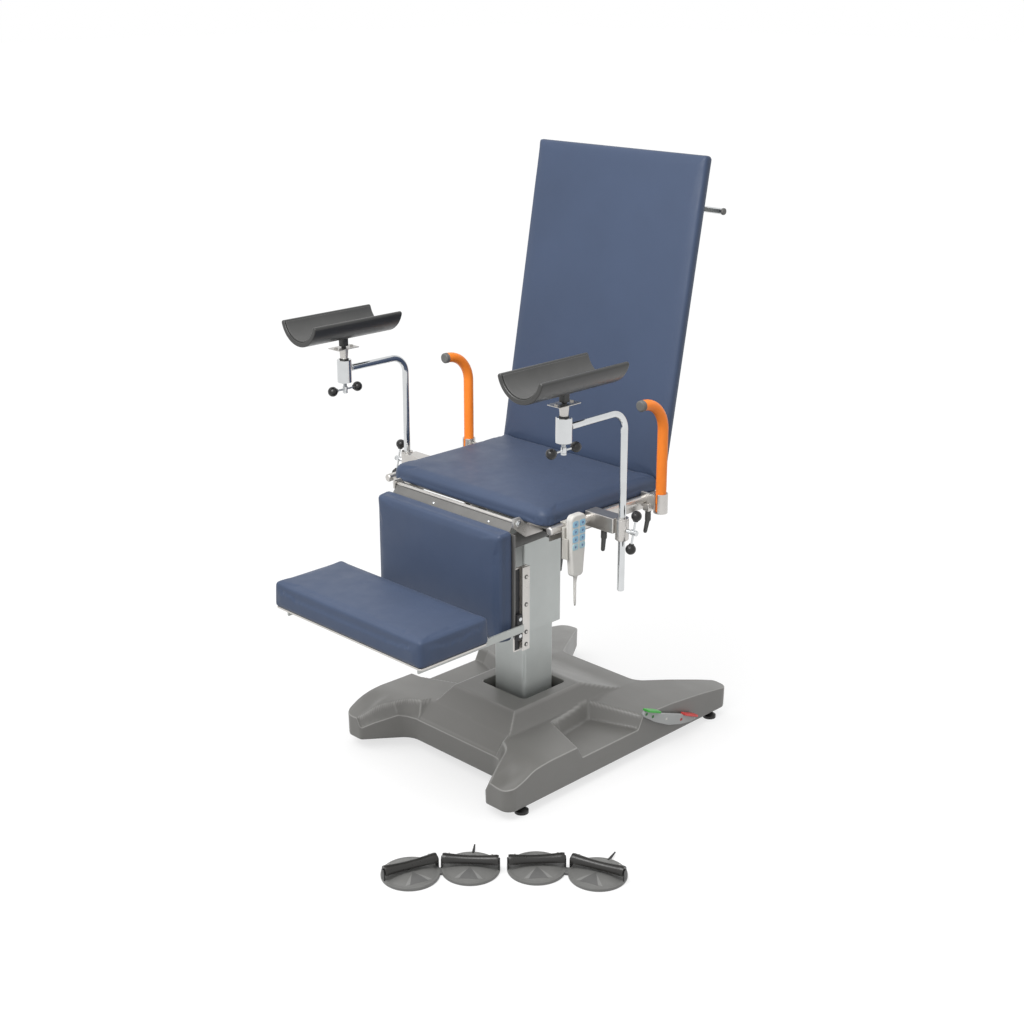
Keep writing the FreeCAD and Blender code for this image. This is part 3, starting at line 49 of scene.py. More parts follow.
cameraView = {
    "place": (2865.7, -2911.8, 2103.5),
    "right": (0.70707, 0.70714, 0.0),
    "up": (-0.23122, 0.23120, 0.94503),
    "back": (0.66827, -0.66820, 0.32698),
    "lens": 55.70,
    "sensor": 36.0,
    "clipEnd": 400000,
}
studio = {
    "ambient": 0.81,
    "floorTone": 0.34,
    "floorGlow": 0.69,
    "floorHalf": 40000,
    "floorZ": -0.4,
    "suns": (  # where the light comes from, strength, spread in degrees
        ((-0.35, -0.3, 1.0), 0.50, 50),
        ((0.5, -1.0, 0.7), 0.24, 70),
    ),
    "softbox": {"place": (350, -1250, 2250), "toward": (0, 250, 1200), "size": 1200, "power": 30},
}


def addObject(name, data):
    made = bpy.data.objects.new(name, data)
    scene.collection.objects.link(made)
    return made


def addLamp(name, kind, energy, toward):
    # lamp that shines from a direction
    data = bpy.data.lights.new(name, kind)
    data.energy = energy
    lamp = addObject(name, data)
    lamp.rotation_mode = "QUATERNION"
    lamp.rotation_quaternion = Vector(toward).to_track_quat("Z", "Y")
    return lamp


def addNode(tree, kind, values=()):
    # shader node with some of its inputs set
    node = tree.nodes.new("ShaderNode" + kind)
    for key, value in dict(values).items():
        node.inputs[key].default_value = value
    return node


def freshTree(owner, output):
    # emptied node tree, and the socket that takes its surface
    owner.use_nodes = True
    tree = owner.node_tree
    tree.nodes.clear()
    return tree, addNode(tree, output).inputs["Surface"]


def seenDirectly(tree):
    # largest of the camera, glossy and transmission ray flags
    rays = addNode(tree, "LightPath").outputs
    flag = rays["Is Camera Ray"]
    for name in ("Is Glossy Ray", "Is Transmission Ray"):
        larger = addNode(tree, "Math")
        larger.operation = "MAXIMUM"
        tree.links.new(flag, larger.inputs[0])
        tree.links.new(rays[name], larger.inputs[1])
        flag = larger.outputs[0]
    return flag


def makeCamera(cfg):
    data = bpy.data.cameras.new("camera")
    data.sensor_width = cfg["sensor"]
    data.lens = cfg["lens"]
    data.clip_end = cfg["clipEnd"] * milli
    scene.camera = addObject("camera", data)
    columns = [cfg["right"], cfg["up"], cfg["back"], [v * milli for v in cfg["place"]]]
    scene.camera.matrix_world = Matrix([[c[i] for c in columns] for i in range(3)] + [[0, 0, 0, 1]])


def makeStudio(cfg):
    # the world is plain white to the camera and in reflections, and a softer white as a light
    scene.world = bpy.data.worlds.new("studio")
    tree, surface = freshTree(scene.world, "OutputWorld")
    mix = addNode(tree, "MixShader")
    tree.links.new(seenDirectly(tree), mix.inputs[0])
    for i, strength in enumerate((cfg["ambient"], 1.0)):
        sky = addNode(tree, "Background", {"Color": (1, 1, 1, 1), "Strength": strength})
        tree.links.new(sky.outputs[0], mix.inputs[i + 1])
    tree.links.new(mix.outputs[0], surface)

    paper = bpy.data.materials.new("floorPaper")
    tree, surface = freshTree(paper, "OutputMaterial")
    matt = addNode(tree, "BsdfDiffuse", {"Color": (*[cfg["floorTone"]] * 3, 1)})
    share = addNode(tree, "Math", {1: cfg["floorGlow"]})
    share.operation = "MULTIPLY"
    glow = addNode(tree, "Emission")
    both = addNode(tree, "AddShader")
    tree.links.new(seenDirectly(tree), share.inputs[0])
    tree.links.new(share.outputs[0], glow.inputs["Strength"])
    tree.links.new(matt.outputs[0], both.inputs[0])
    tree.links.new(glow.outputs[0], both.inputs[1])
    tree.links.new(both.outputs[0], surface)
    h, z = cfg["floorHalf"] * milli, cfg["floorZ"] * milli
    mesh = bpy.data.meshes.new("floor")
    mesh.from_pydata([(-h, -h, z), (h, -h, z), (h, h, z), (-h, h, z)], [], [(0, 1, 2, 3)])
    mesh.materials.append(paper)
    floor = addObject("floor", mesh)

    for i, (toward, strength, spread) in enumerate(cfg["suns"]):
        addLamp(f"sun{i}", "SUN", strength, toward).data.angle = math.radians(spread)
    box = cfg["softbox"]
    place = Vector(box["place"])
    lamp = addLamp("softbox", "AREA", box["power"], place - Vector(box["toward"]))
    lamp.location = place * milli
    lamp.data.size = box["size"] * milli


makeCamera(cameraView)
makeStudio(studio)
print("camera and studio ready")

# tone in screen values 0-255, roughness, drift of the tone and its size, size and depth of the grain, extras;
# lengths in millimetres
finishes = {
    "navyVinyl": ((59, 72, 96), 0.5, 0.05, 160, 1.5, 0.06, {"shine": 0.32, "sheen": 0.06, "pebble": True}),
    # basePlastic's edge tone is a painted highlight on the base's convex creases and rounded edges
    "basePlastic": ((120, 119, 116), 0.34, 0.04, 220, 1.1, 0.05,
                    {"shine": 0.5, "highlightTone": (190, 189, 186)}),
    "columnAluminium": ((188, 192, 190), 0.38, 0.03, 60, 1.2, 0.012,
                        {"metal": 0.55, "stretch": (1, 1, 0.02)}),
    "stainless": ((200, 197, 193), 0.3, 0.05, 40, 1.0, 0.012, {"metal": 0.88, "stretch": (0.03, 1, 1)}),
    "greySteel": ((181, 184, 181), 0.38, 0.04, 90, 1.1, 0.012, {"metal": 0.5, "stretch": (0.03, 1, 1)}),
    "chrome": ((208, 210, 211), 0.09, 0.03, 25, 5, 0.01, {"metal": 1.0}),
    # the next finish is steel darkened with painted shade, for the leg plate and the bent strip that lie in
    # shadow below the seat
    "stripSteelPaintedShade": ((113, 112, 110), 0.42, 0.06, 40, 1.0, 0.012, {"metal": 0.4, "stretch": (0.03, 1, 1)}),
    "greyPaint": ((172, 174, 173), 0.42, 0.04, 50, 2.2, 0.03),
    "blackSteel": ((32, 32, 34), 0.48, 0.12, 30, 1.4, 0.04),
    "blackRubber": ((25, 25, 25), 0.42, 0.12, 20, 1.0, 0.04),
    "barRubber": ((32, 31, 29), 0.3, 0.1, 26, 1.2, 0.03),
    "ballPlastic": ((21, 21, 21), 0.28, 0.15, 12, 2.0, 0.03),
    "troughFoam": ((43, 43, 42), 0.32, 0.08, 45, 1.7, 0.09, {"shine": 0.5, "sheen": 0.08, "pebble": True}),
    "troughLining": ((66, 66, 65), 0.42, 0.08, 45, 1.7, 0.09,
                     {"shine": 0.5, "sheen": 0.08, "pebble": True}),
    "orangeGrip": ((255, 138, 48), 0.42, 0.04, 40, 1.6, 0.03, {"shine": 0.3}),
    "leverGrey": ((69, 69, 68), 0.44, 0.08, 14, 0.9, 0.05),
    "capGrey": ((98, 98, 96), 0.5, 0.08, 14, 1.0, 0.05),
    "handsetShell": ((211, 209, 204), 0.42, 0.02, 35, 0.8, 0.03),
    "cradleShell": ((188, 185, 178), 0.48, 0.03, 30, 0.9, 0.03),
    "keyBlue": ((147, 192, 217), 0.34, 0.06, 6, 0.7, 0.02),
    "keyPale": ((167, 201, 211), 0.36, 0.06, 6, 0.7, 0.02),
    "keyMark": ((57, 71, 147), 0.4, 0.06, 4, 0.6, 0.01),
    "padGreen": ((64, 169, 64), 0.4, 0.06, 14, 1.2, 0.05),
    "padRed": ((211, 73, 69), 0.4, 0.06, 14, 1.2, 0.05),
    "markGreen": ((29, 103, 34), 0.42, 0.08, 8, 1.0, 0.02),
    "markRed": ((167, 25, 29), 0.42, 0.08, 8, 1.0, 0.02),
    "switchGrey": ((112, 112, 110), 0.36, 0.05, 30, 1.0, 0.04),
    "switchDark": ((98, 98, 97), 0.4, 0.05, 30, 1.0, 0.04),
    # the next finish is a painted highlight for the dome's facets beside the middle wedge
    "switchPale": ((130, 130, 128), 0.36, 0.05, 30, 1.0, 0.04),
}
wear, bump = 0.15, 0.6  # drift of the roughness, strength of the relief


def linearTone(tone):
    c = np.array(tone, float) / 255
    return np.where(c <= 0.04045, c / 12.92, ((c + 0.055) / 1.055) ** 2.4)


def makeFinish(name, tone, rough, vary, varySize, grainSize, grainDepth, extras=()):
    # tone drifts with a broad noise, roughness with a finer one, relief from grain, pebbles or brush lines
    extras = dict(extras)
    material = bpy.data.materials.new(name)
    material.use_nodes = True
    tree = material.node_tree
    link = tree.links.new
    into = tree.nodes["Principled BSDF"].inputs
    into["Metallic"].default_value = extras.get("metal", 0)
    into["Specular IOR Level"].default_value = extras.get("shine", 0.5)
    into["Sheen Weight"].default_value = extras.get("sheen", 0)
    place = addNode(tree, "TexCoord").outputs["Object"]
    stretch = addNode(tree, "Mapping", {"Scale": extras.get("stretch", (1, 1, 1))})
    broad = addNode(tree, "TexNoise", {"Scale": 1000 / varySize, "Detail": 5})
    patch = addNode(tree, "TexNoise", {"Scale": 3500 / varySize, "Detail": 4})
    if "pebble" in extras:
        fine = addNode(tree, "TexVoronoi", {"Scale": 1000 / grainSize})
        fine.feature = "SMOOTH_F1"
        height = fine.outputs["Distance"]
    else:
        fine = addNode(tree, "TexNoise", {"Scale": 1000 / grainSize, "Detail": 3})
        height = fine.outputs["Fac"]
    drawn = stretch.outputs["Vector"]
    for start, node in ((place, stretch), (place, broad), (drawn, patch), (drawn, fine)):
        link(start, node.inputs["Vector"])

    ramp = addNode(tree, "ValToRGB")
    for stop, at, way in zip(ramp.color_ramp.elements, (0.3, 0.7), (-1, 1)):
        stop.position = at
        stop.color = (*np.clip(linearTone(tone) * (1 + way * vary), 0, 1), 1)
    link(broad.outputs["Fac"], ramp.inputs["Fac"])
    colour = ramp.outputs["Color"]
    if "highlightTone" in extras:  # painted highlight: paler along the convex ridges and rounded edges that the mesh marks
        paintedHighlight = addNode(tree, "Attribute")
        paintedHighlight.attribute_name = "edge"
        highlightMix = addNode(tree, "MixRGB", {"Color2": (*linearTone(extras["highlightTone"]), 1)})
        link(paintedHighlight.outputs["Fac"], highlightMix.inputs["Fac"])
        link(colour, highlightMix.inputs["Color1"])
        colour = highlightMix.outputs["Color"]
    link(colour, into["Base Color"])

    worn = addNode(tree, "MapRange", {"From Min": 0.25, "From Max": 0.75,
                                      "To Min": rough * (1 - wear), "To Max": rough * (1 + wear)})
    link(patch.outputs["Fac"], worn.inputs["Value"])
    link(worn.outputs["Result"], into["Roughness"])
    relief = addNode(tree, "Bump", {"Strength": bump, "Distance": grainDepth * milli})
    link(height, relief.inputs["Height"])
    link(relief.outputs["Normal"], into["Normal"])
    return material


looks = {name: makeFinish(name, *row) for name, row in finishes.items()}
print("finishes:", len(looks))


def unit(v):
    v = np.asarray(v, float)
    return v / np.linalg.norm(v)


def roundedCorners(points, radii, closed=True, steps=8):
    # every corner becomes an arc that touches both its runs
    points = np.asarray(points, float)
    count = len(points)
    runs = []
    for i in range(count):
        here = points[i]
        if radii[i] <= 0 or (not closed and i in (0, count - 1)):
            runs.append(here[None])
            continue
        a, b = unit(points[i - 1] - here), unit(points[(i + 1) % count] - here)
        half = math.acos(np.clip(a @ b, -1, 1)) / 2
        centre = here + unit(a + b) * radii[i] / math.sin(half)
        start = here + a * radii[i] / math.tan(half) - centre
        end = here + b * radii[i] / math.tan(half) - centre
        turn = math.pi - 2 * half
        t = np.linspace(0, 1, steps + 1)[:, None]
        runs.append(centre + (np.sin((1 - t) * turn) * start + np.sin(t * turn) * end) / math.sin(turn))
    return np.concatenate(runs)


def cornerLine(rows, closed=True, steps=6):
    # rows give the place of each corner and its round
    rows = np.array(rows, float)
    return roundedCorners(rows[:, :2], rows[:, 2], closed, steps)


def evenly(path, step, closed=True):
    # points a fixed step apart along a line
    line = np.vstack([path, path[:1]]) if closed else path
    run = np.concatenate([[0], np.cumsum(np.linalg.norm(np.diff(line, axis=0), axis=1))])
    count = max(3, int(round(run[-1] / step)))
    at = np.linspace(0, run[-1], count, endpoint=not closed)
    return np.stack([np.interp(at, run, line[:, k]) for k in range(line.shape[1])], -1)


def roundRect(halfX, halfY, radius, steps=6):
    corners = [(halfX, -halfY), (halfX, halfY), (-halfX, halfY), (-halfX, -halfY)]
    return roundedCorners(corners, [radius] * 4, steps=steps)


def outwards(outline):
    # normal of a closed line that runs anticlockwise
    along = np.roll(outline, -1, 0) - np.roll(outline, 1, 0)
    normal = np.stack([along[:, 1], -along[:, 0]], -1)
    return normal / np.maximum(np.linalg.norm(normal, axis=1, keepdims=True), 1e-9)


def gridQuads(rows, cols):
    # quads between neighbouring rows; the columns close on themselves
    r, c = np.meshgrid(np.arange(rows - 1), np.arange(cols), indexing="ij")
    n = (c + 1) % cols
    return np.stack([r * cols + c, r * cols + n, (r + 1) * cols + n, (r + 1) * cols + c], -1).reshape(-1, 4)


def loopSkin(loops):
    # closed loops joined row by row, with a face over each end
    rows, cols = loops.shape[:2]
    faces = gridQuads(rows, cols).tolist()
    faces.append(list(range(cols))[::-1])
    faces.append(list(range((rows - 1) * cols, rows * cols)))
    return loops.reshape(-1, 3), faces


def slabSkin(outline, low, high, lowRound=1.0, highRound=1.0, steps=4):
    # outline carried upwards and drawn in by a quarter circle at each edge
    a = np.linspace(0, math.pi / 2, steps + 1)
    inset = np.concatenate([lowRound * (1 - np.sin(a)), highRound * (1 - np.cos(a))])
    height = np.concatenate([low + lowRound * (1 - np.cos(a)), high - highRound * (1 - np.sin(a))])
    flat = outline[None] - outwards(outline)[None] * inset[:, None, None]
    return loopSkin(np.concatenate([flat, np.broadcast_to(height[:, None, None], flat.shape[:2] + (1,))], -1))


def blockSkin(x, y, z, edge=0.8, corner=None):
    # rounded rectangle in plan, carried from the lower to the upper height
    (x0, x1), (y0, y1), (z0, z1) = sorted(x), sorted(y), sorted(z)
    outline = roundRect((x1 - x0) / 2, (y1 - y0) / 2, corner or edge, 4) + ((x0 + x1) / 2, (y0 + y1) / 2)
    return slabSkin(outline, z0, z1, edge, edge, 3)


def sideBlock(sign, box, edge, corner=None):
    # block written for the right side, laid on the side of the sign
    x, y, z = box
    return blockSkin([sign * v for v in x], y, z, edge, corner)


def axesFor(axis):
    w = unit(axis)
    u = unit(np.cross(ez, w)) if abs(w[2]) < 0.9 else unit(np.cross(ey, w))
    return u, np.cross(w, u), w


def spinSkin(profile, at, axis=(0, 0, 1), count=32):
    # radius and height pairs carried round an axis
    u, v, w = axesFor(axis)
    radius, height = np.array(profile, float).T
    a = np.linspace(0, 2 * math.pi, count, endpoint=False)
    ring = np.cos(a)[:, None] * u + np.sin(a)[:, None] * v
    return loopSkin(np.asarray(at, float) + radius[:, None, None] * ring + height[:, None, None] * w)


def barSkin(start, end, radius, chamfer=0.8, count=28):
    # round bar between two points with a small chamfer at each end
    start, end = np.asarray(start, float), np.asarray(end, float)
    long = np.linalg.norm(end - start)
    profile = [(radius - chamfer, 0), (radius, chamfer), (radius, long - chamfer), (radius - chamfer, long)]
    return spinSkin(profile, start, end - start, count)


def capsuleSkin(start, end, first, last, count=24):
    # ball ends joined by a cone along the line from start to end
    start, end = np.asarray(start, float), np.asarray(end, float)
    long = np.linalg.norm(end - start)
    a = np.linspace(0, math.pi / 2, 8)[:-1]
    near = np.column_stack([first * np.cos(a), -first * np.sin(a)])[::-1]
    far = np.column_stack([last * np.cos(a), long + last * np.sin(a)])
    return spinSkin(np.vstack([near, far]), start, end - start, count)


def tubeSkin(path, radius, side, count=28, chamfer=1.0):
    # circle carried along a flat path, square to it; side is the path's own normal
    along = np.gradient(path, axis=0)
    along /= np.linalg.norm(along, axis=1, keepdims=True)
    side = unit(side)
    across = np.cross(along, side)
    near, far = path[:1] + along[:1] * chamfer, path[-1:] - along[-1:] * chamfer
    path = np.vstack([path[:1], near, path[1:-1], far, path[-1:]])
    across = np.vstack([across[:1], across, across[-1:]])
    size = np.full(len(path), float(radius))
    size[[0, -1]] -= chamfer
    a = np.linspace(0, 2 * math.pi, count, endpoint=False)[None, :, None]
    return loopSkin(path[:, None] + size[:, None, None] * (np.cos(a) * side + np.sin(a) * across[:, None]))


def turned(skin, at, u=ex, v=ey, w=ez):
    # local x, y, z laid along u, v, w from a point
    return skin[0] @ np.array([u, v, w], float) + np.asarray(at, float), skin[1]


def facing(skin):
    # local x along Y, local y along Z, local z along X
    return turned(skin, (0, 0, 0), ey, ez, ex)


def ballSkin(centre, radius, count=28):
    a = np.linspace(-math.pi / 2, math.pi / 2, 19)[1:-1]
    return spinSkin(np.stack([radius * np.cos(a), radius * np.sin(a)], -1), centre, count=count)


def inKind(kind, *skins):
    return [(skin, kind) for skin in skins]


def newMesh(name, points, faces):
    mesh = bpy.data.meshes.new(name)
    mesh.from_pydata((points * milli).tolist(), [], faces)
    return mesh


def orient(mesh, weld=0):
    # faces turned outwards; an open skin first has close points joined, and is made to face up
    work = bmesh.new()
    work.from_mesh(mesh)
    if weld:
        bmesh.ops.remove_doubles(work, verts=work.verts, dist=weld * milli)
    bmesh.ops.recalc_face_normals(work, faces=work.faces)
    if weld and sum(f.normal.z * f.calc_area() for f in work.faces) < 0:
        bmesh.ops.reverse_faces(work, faces=work.faces)
    work.to_mesh(mesh)
    work.free()


def newPiece(name, parts, body, standsFor=(), crease=38):
    # parts are pairs of a skin and its finish
    verts, faces, marks, kinds, start = [], [], [], [], 0
    for (points, polys), kind in parts:
        if kind not in kinds:
            kinds.append(kind)
        verts.append(points)
        faces += [[i + start for i in p] for p in polys]
        marks += [kinds.index(kind)] * len(polys)
        start += len(points)
    mesh = newMesh(name, np.concatenate(verts), faces)
    for kind in kinds:
        mesh.materials.append(looks[kind])
    mesh.polygons.foreach_set("material_index", marks)
    orient(mesh)
    mesh.shade_smooth()
    mesh.set_sharp_from_angle(angle=math.radians(crease))
    piece = addObject(name, mesh)
    piece.modifiers.new("evenShade", "WEIGHTED_NORMAL").keep_sharp = True
    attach(piece, body)
    if standsFor:
        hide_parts(*standsFor)
    return piece


handsetCord = {
    "route": ((339, -158, 606), (339, -158, 588), (337, -156, 569), (327, -146, 553), (309, -128, 546),
              (290, -109, 554), (279, -98, 575), (276, -95, 612), (277.5, -96.5, 668), (277.5, -96.5, 728)),
    "radius": 2.25,
    "length": 289.3,
}


def makeCord(cfg):
    curve = bpy.data.curves.new("handsetCord", "CURVE")
    curve.dimensions = "3D"
    curve.bevel_depth = cfg["radius"] * milli
    curve.bevel_resolution = 5
    curve.use_fill_caps = True
    line = curve.splines.new("NURBS")
    line.points.add(len(cfg["route"]) - 1)
    for point, place in zip(line.points, cfg["route"]):
        point.co = (*[v * milli for v in place], 1)
    line.order_u = 3
    line.use_endpoint_u = True
    line.resolution_u = 16
    curve.materials.append(looks["handsetShell"])
    piece = addObject("handsetCord", curve)
    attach(piece, "seat")
    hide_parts("handset_cord")


makeCord(handsetCord)
print("cord laid")

pads = {  # half width and depth, thickness, corner rounds near and far, edge roll, crown, and where it lies
    "seatPad": {"half": (295.6, 218.6), "thick": 38.5, "corner": (36, 8), "roll": 19, "low": 4, "crown": 4.5,
                "cap": 3.5, "farOn": 24, "farEnd": 216.4, "at": (0, -6, 772.2), "u": ex, "v": ey, "w": ez,
                "voxel": 4, "body": "seat", "node": "seat_cushion", "fill": 0.85},
    "backPad": {"half": (301.5, 421.8), "thick": 26.6, "corner": (7, 9), "roll": 9, "low": 4, "crown": 2.5,
                "cap": 2.5, "nearOn": 36, "nearEnd": -440, "lean": 10, "front": (212, 812), "long": 844,
                "deep": 28, "voxel": 5.5, "body": "back", "node": "back_cushion", "fill": 0.9},
    "legPad": {"half": (236.6, 148.2), "thick": 42.2, "corner": (10, 10), "roll": 11, "low": 3.5,
               "crown": 2.5, "cap": 2.5, "at": (0, -282.2, 616), "u": -ex, "v": ez, "w": -ey,
               "voxel": 4, "body": "leg", "node": "leg_cushion", "fill": 0.85},
    "footPad": {"half": (286, 114.8), "thick": 68, "corner": (11, 11), "roll": 9, "low": 3.5, "crown": 2.5,
                "cap": 2.5, "at": (0, -524.5, 518.2), "u": ex, "v": ey, "w": ez,
                "voxel": 4, "body": "knee_rest", "node": "foot_cushion", "fill": 0.85},
}
swell = {  # lengths in millimetres; a pad is held below the height given
    "frames": 20, "ease": 2, "held": 2.5,
    "cloth": {"quality": 4, "mass": 0.35, "tension_stiffness": 18, "compression_stiffness": 18,
              "bending_stiffness": 1.2, "use_pressure": True, "uniform_pressure_force": 4.0},
}


def padOutline(cfg, inset):
    hx, hy = (h - inset for h in cfg["half"])
    near, far = (max(c - inset, 1.5) for c in cfg["corner"])
    front, back = -hy - cfg.get("nearOn", 0), hy + cfg.get("farOn", 0)
    corners = [(hx, front), (hx, back), (-hx, back), (-hx, front)]
    line = roundedCorners(corners, [near, far, far, near], steps=10)
    line[:, 1] = np.clip(line[:, 1], cfg.get("nearEnd", -np.inf), cfg.get("farEnd", np.inf))
    return line


def padSkin(cfg):
    # underside, small lower round, upright side, quarter-round roll, then rings that rise to the crown
    a = np.linspace(0, math.pi / 2, 9)
    low, roll, top = cfg["low"], cfg["roll"], cfg["thick"]
    reach = min(cfg["half"]) - roll - 4
    s = np.linspace(0, 1, 9)[1:]
    inset = np.concatenate([[reach], low * (1 - np.sin(a)), roll * (1 - np.cos(a)), roll + reach * s])
    rise = top + cfg["crown"] * (1 - (1 - s) ** 2)
    height = np.concatenate([[0], low * (1 - np.cos(a)), top - roll * (1 - np.sin(a)), rise])
    flat = np.array([padOutline(cfg, d) for d in inset])
    return loopSkin(np.dstack([flat, np.broadcast_to(height[:, None], flat.shape[:2])]))


def padAxes(cfg):
    if "lean" not in cfg:
        return cfg["at"], cfg["u"], cfg["v"], cfg["w"]
    tilt = math.radians(cfg["lean"])
    upwards = np.array([0, math.sin(tilt), math.cos(tilt)])
    forwards = np.array([0, -math.cos(tilt), math.sin(tilt)])
    at = np.array([0, *cfg["front"]]) + upwards * cfg["long"] / 2 - forwards * (cfg["deep"] - 0.2)
    return at, -ex, upwards, forwards


def meshPoints(mesh):
    co = np.empty(len(mesh.vertices) * 3)
    mesh.vertices.foreach_get("co", co)
    return co.reshape(-1, 3)


def cutPad(name, cfg):
    # closed pad form, copied and remeshed in even cells
    piece = addObject(name, newMesh(name, *padSkin(cfg)))
    cells = piece.modifiers.new("cells", "REMESH")
    cells.mode = "VOXEL"
    cells.voxel_size = cfg["voxel"] * milli
    ease = piece.modifiers.new("ease", "SMOOTH")
    ease.factor, ease.iterations = 0.5, swell["ease"]
    done = bpy.data.meshes.new_from_object(piece.evaluated_get(bpy.context.evaluated_depsgraph_get()))
    piece.modifiers.clear()
    piece.data = done
    return piece


def makePads():
    made = {name: cutPad(name, cfg) for name, cfg in pads.items()}
    rest = {name: meshPoints(piece.data) for name, piece in made.items()}
    for name, piece in made.items():
        held = piece.vertex_groups.new(name="held")
        held.add(np.flatnonzero(rest[name][:, 2] < swell["held"] * milli).tolist(), 1.0, "REPLACE")
        cloth = piece.modifiers.new("swell", "CLOTH")
        for key, value in swell["cloth"].items():
            setattr(cloth.settings, key, value)
        cloth.settings.effector_weights.gravity = 0
        cloth.settings.vertex_group_mass = "held"
        cloth.collision_settings.use_collision = False
    for step in range(1, swell["frames"] + 1):
        scene.frame_set(step)
    shown = bpy.context.evaluated_depsgraph_get()
    for name, piece in made.items():
        move = meshPoints(piece.evaluated_get(shown).data) - rest[name]
        far = np.linalg.norm(move, axis=1, keepdims=True)
        rest[name] = rest[name] + move * np.minimum(1, pads[name]["cap"] * milli / np.maximum(far, 1e-9))
        print("swelled", name, round(float(far.max() / milli), 2), "mm at most before the cap")
        piece.modifiers.clear()
        piece.vertex_groups.clear()
    scene.frame_set(1)
    for name, piece in made.items():
        cfg = pads[name]
        at, u, v, w = padAxes(cfg)
        placed = rest[name] @ np.array([u, v, w], float) + np.asarray(at, float) * milli
        piece.data.vertices.foreach_set("co", placed.ravel())
        piece.data.materials.clear()
        piece.data.materials.append(looks["navyVinyl"])
        piece.data.shade_smooth()
        piece.data.update()
        finer = piece.modifiers.new("finer", "SUBSURF")
        finer.levels = finer.render_levels = 1
        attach(piece, cfg["body"])
        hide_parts(cfg["node"])


makePads()
print("upholstery done")

baseCover = {  # corners of the outline are x, y and round; heights of the rims are given along y
    "outline": ((172, -254, 60), (220, -368, 12), (310, -368, 30), (310, 548, 30), (254, 548, 18),
                (145, 318, 40), (-145, 318, 40), (-296, 548, 18), (-352, 548, 30), (-352, -368, 26),
                (-284, -368, 16), (-196, -254, 60)),
    "frontLine": ((-284, -368, 0), (-196, -254, 60), (172, -254, 60), (220, -368, 0)),
    "half": (310, 352), "edge": 3.4, "low": 28.0, "grid": 3.8, "step": 4.0, "shell": 4.0,
    "joinRound": 8, "creaseRound": 4.5, "clear": 2.2, "weld": 0.05,
    # painted highlight along convex creases: step for comparing heights, the rise that gives full strength,
    # and its strength
    "highlightStep": 3, "highlightFull": 1.0, "highlightShare": 0.42,
    "hole": {"half": 85, "round": 15, "edge": 4, "deep": 60, "clear": 2.5},
    "plateau": {"top": 185, "half": 120, "front": 158, "rear": 104, "flank": 1.6, "bow": 0.97,
                "tail": 0.39, "foot": 150, "topRound": 4},
    "rims": (((-380, 86), (-356, 93), (-312, 104), (-272, 122), (-215, 127), (190, 127), (285, 122),
              (412, 108), (502, 95), (560, 84)),
             ((-380, 84), (-357, 95), (-338, 106), (-311, 120), (-273, 129), (-235, 132), (-150, 130),
              (190, 127), (285, 122), (412, 108), (502, 95), (560, 84))),
    "crown": 10, "easeRim": 14,
    "panel": {"half": (142, 166), "top": 185, "from": -158, "fall": 0.985, "sides": 2.2, "reach": 12},
    "tray": {"floor": 90, "inner": ((-37, 184), (79, 168)), "near": ((165, -37), (315, -91)),
             "far": ((154, 84), (315, 145)), "wall": 2.6, "ends": 1.9, "endRound": 6, "floorRound": 12},
    "ledge": {"level": ((-368, 62), (-335, 78), (-281, 98), (-261, 94), (-254, 92)), "wide": 3, "slope": 2.3,
              "until": -225},
    "dish": {"deep": 9, "in": 42, "halfX": 36, "y": -318, "halfY": 72},
}


def lower(a, b, k):
    # lower of two heights with a rounded crease
    h = np.clip(1 - np.abs(a - b) / k, 0, None)
    return np.minimum(a, b) - h * h * k / 4


def higher(a, b, k):
    return -lower(-a, -b, k)


def along(pairs, at):
    where, level = np.array(pairs, float).T
    return np.interp(at, where, level)


def nearLine(points, line):
    # distance from each point to a run of straight pieces
    a, d = line[:-1], np.diff(line, axis=0)
    t = np.clip(((points[:, None] - a) * d).sum(-1) / (d * d).sum(-1), 0, 1)
    return np.sqrt((((a + t[..., None] * d) - points[:, None]) ** 2).sum(-1).min(1))


def inOutline(points, outline):
    # odd count of crossings to the right of a point
    x, y = points[:, :1], points[:, 1:]
    x0, y0 = outline.T
    x1, y1 = np.roll(outline, -1, 0).T
    cross = (y0 > y) != (y1 > y)
    at = x0 + (y - y0) * (x1 - x0) / np.where(y1 == y0, 1e-9, y1 - y0)
    return (cross & (x < at)).sum(1) % 2 == 1


